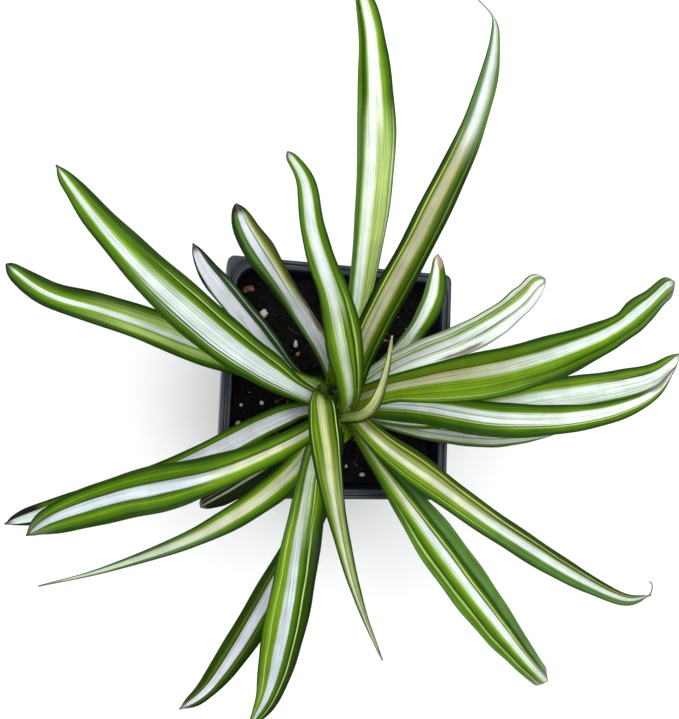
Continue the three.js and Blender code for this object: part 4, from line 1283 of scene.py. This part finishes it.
def make_bed():
    """The soil as a closed block with a rough top."""
    bm = bmesh.new()
    bmesh.ops.create_grid(bm, x_segments=BED_CELLS, y_segments=BED_CELLS, size=BED_HALF)
    for vert in bm.verts:
        x, y = inside_corner(vert.co.x, vert.co.y)
        vert.co = (x, y, soil_height(x, y))
    rim = [edge for edge in bm.edges if edge.is_boundary]
    skirt = bmesh.ops.extrude_edge_only(bm, edges=rim)["geom"]
    for vert in (part for part in skirt if isinstance(part, bmesh.types.BMVert)):
        vert.co = (*(vert.co.xy * (BED_FOOT_HALF / BED_HALF)), BED_FOOT)
    foot = [part for part in skirt if isinstance(part, bmesh.types.BMEdge)]
    bmesh.ops.contextual_create(bm, geom=foot)
    bmesh.ops.recalc_face_normals(bm, faces=bm.faces)
    return to_metres(bm)


# %% Group: crumbly
CRUMB_CLOUDS = 160.0
CRUMB_SPAN = (0.4, 0.72)
CRUMB_SHADES = (0.3, 1.0)
CRUMB_ROUGHNESS = (0.98, 0.82)

crumbly, given, result = shader_group(
    "crumbly",
    [
        ("Dark", "Color", BLACK),
        ("Light", "Color", WHITE),
        ("Grain", "Float", 900.0),
        ("Contrast", "Float", 0.5),
    ],
    [("Color", "Color"), ("Roughness", "Float"), ("Height", "Float")],
)
tree = crumbly
body_place = shader_node(tree, "TexCoord").outputs["Object"]
grain = noise_at(tree, body_place, given["Grain"], 4.0, Roughness=0.6)
clouds = noise_at(tree, body_place, CRUMB_CLOUDS, 3.0)
share = calc(tree, "MULTIPLY", fade(tree, grain, *CRUMB_SPAN), fade(tree, clouds, *NOISE_SPAN, *CRUMB_SHADES))
share = calc(tree, "MULTIPLY", share, given["Contrast"])
feed(tree, result["Color"], blend_colours(tree, share, given["Dark"], given["Light"]))
feed(tree, result["Roughness"], fade(tree, clouds, *NOISE_SPAN, *CRUMB_ROUGHNESS))
feed(tree, result["Height"], grain)
print("group:", crumbly.name)

# %% Finishes of the soil
CRUMB_RELIEF = (0.0004, 0.6)
CRUMB_SHINE = 0.15


def soil_finish(name, dark, light, grain, contrast):
    """A crumbly material between two colours."""
    material, tree, shader = principled(name)
    look = place_group(
        tree, crumbly, Dark=linear(*dark), Light=linear(*light), Grain=grain, Contrast=contrast)
    set_surface(tree, shader, look["Color"], look["Roughness"], look["Height"], CRUMB_RELIEF)
    shader.inputs["Specular IOR Level"].default_value = CRUMB_SHINE
    return material


peat = soil_finish("peat", (5, 5, 5), (17, 14, 12), 900.0, 0.6)
peat_crumb = soil_finish("peat_crumb", (8, 6, 5), (30, 23, 19), 1500.0, 0.6)
bark_chip = soil_finish("bark_chip", (96, 66, 46), (186, 152, 118), 700.0, 0.8)
perlite_grain = soil_finish("perlite_grain", (186, 180, 168), (240, 238, 230), 1300.0, 0.9)
rootlet = soil_finish("rootlet", (70, 50, 36), (150, 118, 88), 1100.0, 0.8)
bed = new_piece("soil_bed", make_bed(), peat, "peat", "soil")
print("bed:", len(bed.data.polygons), "faces")

# %% [markdown]
# ## Crumbs, perlite, bark and rootlets
#
# Each loose bit is a small ball of twenty faces, flattened, turned and dented. About a third of it is sunk
# into the bed, so that none hangs over it. A seeded draw gives their places, which makes the soil the same
# on every run. A few bits stand out in the photograph, such as the white grains at the back left. These
# have places of their own and more faces.

# %% Scattering loose bits, in millimetres
SOIL_SEED = 41
BIT_SPREAD = 42
BIT_TILT = 0.5
BIT_NARROW = (0.6, 0.9)
BIT_SINK = 0.3
BIT_DENT = 0.16
CROWN_CLEAR = 9
# the place and the size of the bits that stand out in the photograph
NAMED_PERLITE = [
    (-32.8, 27.7, 1.9), (-18.8, 15.2, 2.0), (13.4, -40.3, 1.3), (-31.9, -10.7, 1.0), (-41.6, -19.5, 1.2),
    (6.0, -36.6, 0.8), (-40.7, -11.9, 0.8), (17.0, 13.9, 0.7),
]
NAMED_BARK = [(-39.7, 37.6, 2.6), (21.9, 18.2, 1.9), (-25.9, -9.6, 1.2), (-17.3, 11.0, 1.3)]


def add_bit(bm, x, y, size, squash, draw, detail=1):
    """One loose bit, sunk into the bed at x, y."""
    turn = Matrix.Rotation(draw.uniform(0, 6.3), 4, "Z")
    turn @= Matrix.Rotation(draw.uniform(-BIT_TILT, BIT_TILT), 4, "X")
    shape = Matrix.Diagonal((1, draw.uniform(*BIT_NARROW), squash, 1))
    place = Matrix.Translation((x, y, soil_height(x, y) + size * squash * BIT_SINK))
    made = bmesh.ops.create_icosphere(bm, subdivisions=detail, radius=size, matrix=place @ turn @ shape)
    for vert in made["verts"]:
        vert.co += Vector([draw.uniform(-1, 1) for _ in range(3)]) * size * BIT_DENT


def scatter(draw, count, small, large, squash, named=()):
    """A mesh of many loose bits, most of them small, and the named ones with more faces."""
    bm = bmesh.new()
    for x, y, size in named:
        add_bit(bm, x, y, size, squash, draw, detail=2)
    while count:
        x, y = draw.uniform(-BIT_SPREAD, BIT_SPREAD), draw.uniform(-BIT_SPREAD, BIT_SPREAD)
        size = small + (large - small) * draw.random() ** 3
        if (Vector((x, y)) - CROWN_PLACE.xy).length > CROWN_CLEAR + size:
            add_bit(bm, x, y, size, squash, draw)
            count -= 1
    return to_metres(bm)


draw = random.Random(SOIL_SEED)
crumbs = scatter(draw, count=1500, small=0.35, large=2.2, squash=0.7)
new_piece("soil_crumbs", crumbs, peat_crumb, "peat")
perlite = scatter(draw, count=22, small=0.25, large=0.7, squash=0.8, named=NAMED_PERLITE)
new_piece("perlite", perlite, perlite_grain, "peat")
bark = scatter(draw, count=26, small=0.5, large=1.3, squash=0.35, named=NAMED_BARK)
new_piece("bark", bark, bark_chip, "peat")
print("loose bits scattered")

# %% Rootlets and fibres, in millimetres
ROOTLETS = 34
ROOTLET_SPREAD = 36
ROOTLET_RADII = (0.1, 0.2)
ROOTLET_STEPS = 7
ROOTLET_STEP = 0.9
ROOTLET_BEND = 0.6


def ring_cap(bm, radius, sides, place):
    """The one face of a small ring, from which a thread is drawn out."""
    ring = bmesh.ops.create_circle(bm, cap_ends=True, radius=radius, segments=sides, matrix=place)["verts"]
    return next(iter(set(ring[0].link_faces) & set(ring[1].link_faces)))


def add_rootlet(bm, draw):
    """A thin fibre that wanders over the bed: a small ring, extruded step by step."""
    x = draw.uniform(-ROOTLET_SPREAD, ROOTLET_SPREAD)
    y = draw.uniform(-ROOTLET_SPREAD, ROOTLET_SPREAD)
    heading, thick = draw.uniform(0, 2 * math.pi), draw.uniform(*ROOTLET_RADII)
    place = Vector((x, y, soil_height(x, y) + thick))
    upright = Matrix.Rotation(math.pi / 2, 4, "Y")
    face = ring_cap(bm, thick, 5, Matrix.Translation(place) @ Matrix.Rotation(heading, 4, "Z") @ upright)
    for _ in range(ROOTLET_STEPS):
        heading += draw.uniform(-ROOTLET_BEND, ROOTLET_BEND)
        target = place + Vector((math.cos(heading), math.sin(heading), 0)) * ROOTLET_STEP
        target.z = soil_height(target.x, target.y) + thick
        face = bmesh.ops.extrude_discrete_faces(bm, faces=[face])["faces"][0]
        bmesh.ops.translate(bm, vec=target - place, verts=face.verts)
        place = target


fibres = bmesh.new()
for _ in range(ROOTLETS):
    add_rootlet(fibres, draw)
new_piece("rootlets", to_metres(fibres), rootlet, "peat")
print(ROOTLETS, "rootlets")

# %% [markdown]
# ## The crown
#
# All blades grow from one short stem, wrapped in the broad feet of older leaves. A core stands in the soil,
# turned on its axis from a short profile. Round it stand sheaths. Each is a short, broad blade that never
# grew out, so the same maker bends it, from a table of its own.

# %% Measures of the core and its sheaths, in millimetres
CORE_PROFILE = [(4.6, 76), (7.2, 79), (8.2, 84), (7.0, 90), (4.8, 96), (2.6, 101), (0.3, 103)]
CORE_TURNS = 32
SHEATH_MARGINS = [(0, 4.2, 4.2), (0.3, 4.6, 4.6), (0.6, 3.6, 3.6), (0.85, 2, 2), (1, 0.5, 0.5)]
SHEATHS = {
    # the width as a share of the margins above, and the midrib
    "sheath_back_left": (0.62, [(-4.7, -6, 90), (-8, -2, 103), (-9.4, 2.2, 109.5), (-11.2, 5.2, 114)]),
    "sheath_back": (1, [(1, -4, 82), (2.5, 0, 89), (3.5, 4, 95)]),
    "sheath_right": (1, [(5, -9, 82), (9, -7, 89), (12, -5, 95)]),
    "sheath_front_right": (1, [(4, -14, 82), (8, -18, 88), (11, -22, 93)]),
    "sheath_front": (0.7, [(1, -13, 84), (2.6, -17.5, 91), (3, -22, 92), (2.8, -26, 90)]),
    "sheath_front_left": (1, [(-4, -14, 82), (-8, -19, 88), (-12, -23, 93)]),
    "sheath_left": (1, [(-5, -10, 82), (-9, -10, 89), (-12.5, -9.5, 95)]),
}
FRESH_SHEATHS = {"sheath_front", "sheath_front_right", "sheath_back_left"}
SHEATH_FOLD = (38, 30)
SHEATH_SEED = 31

# %% Finishes of the crown
STREAK_STRETCH = (1.0, 1.0, 0.16)
STREAK_SCALE = 900.0
STREAK_SPAN = (0.4, 0.65)
PATCH_SCALE = 240.0
SHEATH_ROUGHNESS = (0.45, 0.7)
SHEATH_RELIEF = (0.0003, 0.5)


def sheath_finish(name, pale, brown, reach):
    """Pale green flesh with streaks that run upwards and dry, brown patches."""
    material, tree, shader = principled(name)
    place = shader_node(tree, "TexCoord").outputs["Object"]
    upright = shader_node(tree, "Mapping", {"Vector": place, "Scale": STREAK_STRETCH}).outputs[0]
    streaks = noise_at(tree, upright, STREAK_SCALE, 3.0)
    patches = noise_at(tree, place, PATCH_SCALE, 4.0)
    colour = blend_colours(tree, fade(tree, streaks, *STREAK_SPAN), pale, PALETTE["olive"])
    colour = blend_colours(tree, fade(tree, patches, *reach), colour, brown)
    rough = fade(tree, patches, *NOISE_SPAN, *SHEATH_ROUGHNESS)
    set_surface(tree, shader, colour, rough, streaks, SHEATH_RELIEF)
    shader.inputs["Specular IOR Level"].default_value = BLADE_SHINE
    return material


core_skin = sheath_finish("core_skin", linear(150, 165, 84), PALETTE["bronze"], (0.5, 0.75))
sheath_skin = sheath_finish("sheath_skin", linear(112, 116, 34), linear(92, 80, 30), (0.45, 0.7))
fresh_skin = sheath_finish("fresh_sheath_skin", linear(110, 152, 24), PALETTE["olive"], (0.55, 0.8))

# %% The core and its sheaths
def make_core():
    """The core: a profile spun round the crown's axis."""
    bm = bmesh.new()
    verts = [bm.verts.new(CROWN_PLACE + Vector((radius, 0, z))) for radius, z in CORE_PROFILE]
    edges = [bm.edges.new(pair) for pair in zip(verts, verts[1:])]
    bmesh.ops.spin(
        bm, geom=verts + edges, cent=CROWN_PLACE, axis=(0, 0, 1), angle=2 * math.pi, steps=CORE_TURNS,
        use_merge=True)
    bmesh.ops.holes_fill(bm, edges=[edge for edge in bm.edges if edge.is_boundary], sides=0)
    bmesh.ops.recalc_face_normals(bm, faces=bm.faces)
    return to_metres(bm)


new_piece("crown_core", make_core(), core_skin, "sheath", "crown")
for seed, (name, (width, midrib)) in enumerate(SHEATHS.items(), start=SHEATH_SEED):
    margins = [(share, width * left, width * right) for share, left, right in SHEATH_MARGINS]
    run = {"fold": SHEATH_FOLD, "margins": margins, "midrib": midrib}
    new_piece(name, make_blade(run, seed), fresh_skin if name in FRESH_SHEATHS else sheath_skin, "sheath")
print("a core and", len(SHEATHS), "sheaths")

# %% [markdown]
# ## A dried thread
#
# The tip of one long blade has withered into a stiff grey thread that curls. It is a small ring, extruded
# from point to point along a curve, like the rootlets.

# %% The thread, in millimetres
THREAD_RADIUS = 0.28
THREAD_STEPS = 25
THREAD = [
    (133, -87.6, 113.4), (136, -87.2, 112.4), (137.6, -85, 112), (137.4, -82.4, 112), (136.2, -81.6, 112),
]


def make_thread(points, radius):
    """A round thread through the points."""
    bm = bmesh.new()
    curve = even_steps(midrib_curve(points), THREAD_STEPS)
    place, way = curve[0]
    turn = way.to_track_quat("Z", "Y").to_matrix().to_4x4()
    face = ring_cap(bm, radius, 6, Matrix.Translation(place) @ turn)
    for target, direction in curve[1:]:
        face = bmesh.ops.extrude_discrete_faces(bm, faces=[face])["faces"][0]
        bmesh.ops.translate(bm, vec=target - place, verts=face.verts)
        bend = way.rotation_difference(direction).to_matrix()
        bmesh.ops.rotate(bm, cent=target, matrix=bend, verts=face.verts)
        place, way = target, direction
    bmesh.ops.recalc_face_normals(bm, faces=bm.faces)
    return to_metres(bm)


thread_skin = soil_finish("thread_skin", (70, 64, 58), (150, 144, 132), 1100.0, 0.7)
new_piece("thread_front_right", make_thread(THREAD, THREAD_RADIUS), thread_skin, "leaf")
print("thread:", round(curve_length(midrib_curve(THREAD))), "mm")

# %% [markdown]
# ## The floor
#
# A plain pale sheet under the pot catches its soft shadow and sets it on something. It is no part of the
# object.

# %% The floor
FLOOR_HALF = 3.0
FLOOR_COLOUR = linear(250, 250, 250)
FLOOR_ROUGHNESS = 0.9
FLOOR_SHINE = 0.1

ground = bmesh.new()
bmesh.ops.create_grid(ground, x_segments=1, y_segments=1, size=FLOOR_HALF)
floor_mesh = bpy.data.meshes.new("floor")
ground.to_mesh(floor_mesh)
ground.free()
pale_sheet, tree, shader = principled("pale_sheet")
shader.inputs["Base Color"].default_value = FLOOR_COLOUR
shader.inputs["Roughness"].default_value = FLOOR_ROUGHNESS
shader.inputs["Specular IOR Level"].default_value = FLOOR_SHINE
floor_mesh.materials.append(pale_sheet)
floor_sheet = bpy.data.objects.new("floor", floor_mesh)
bpy.context.scene.collection.objects.link(floor_sheet)
print("floor", 2 * FLOOR_HALF, "m wide")
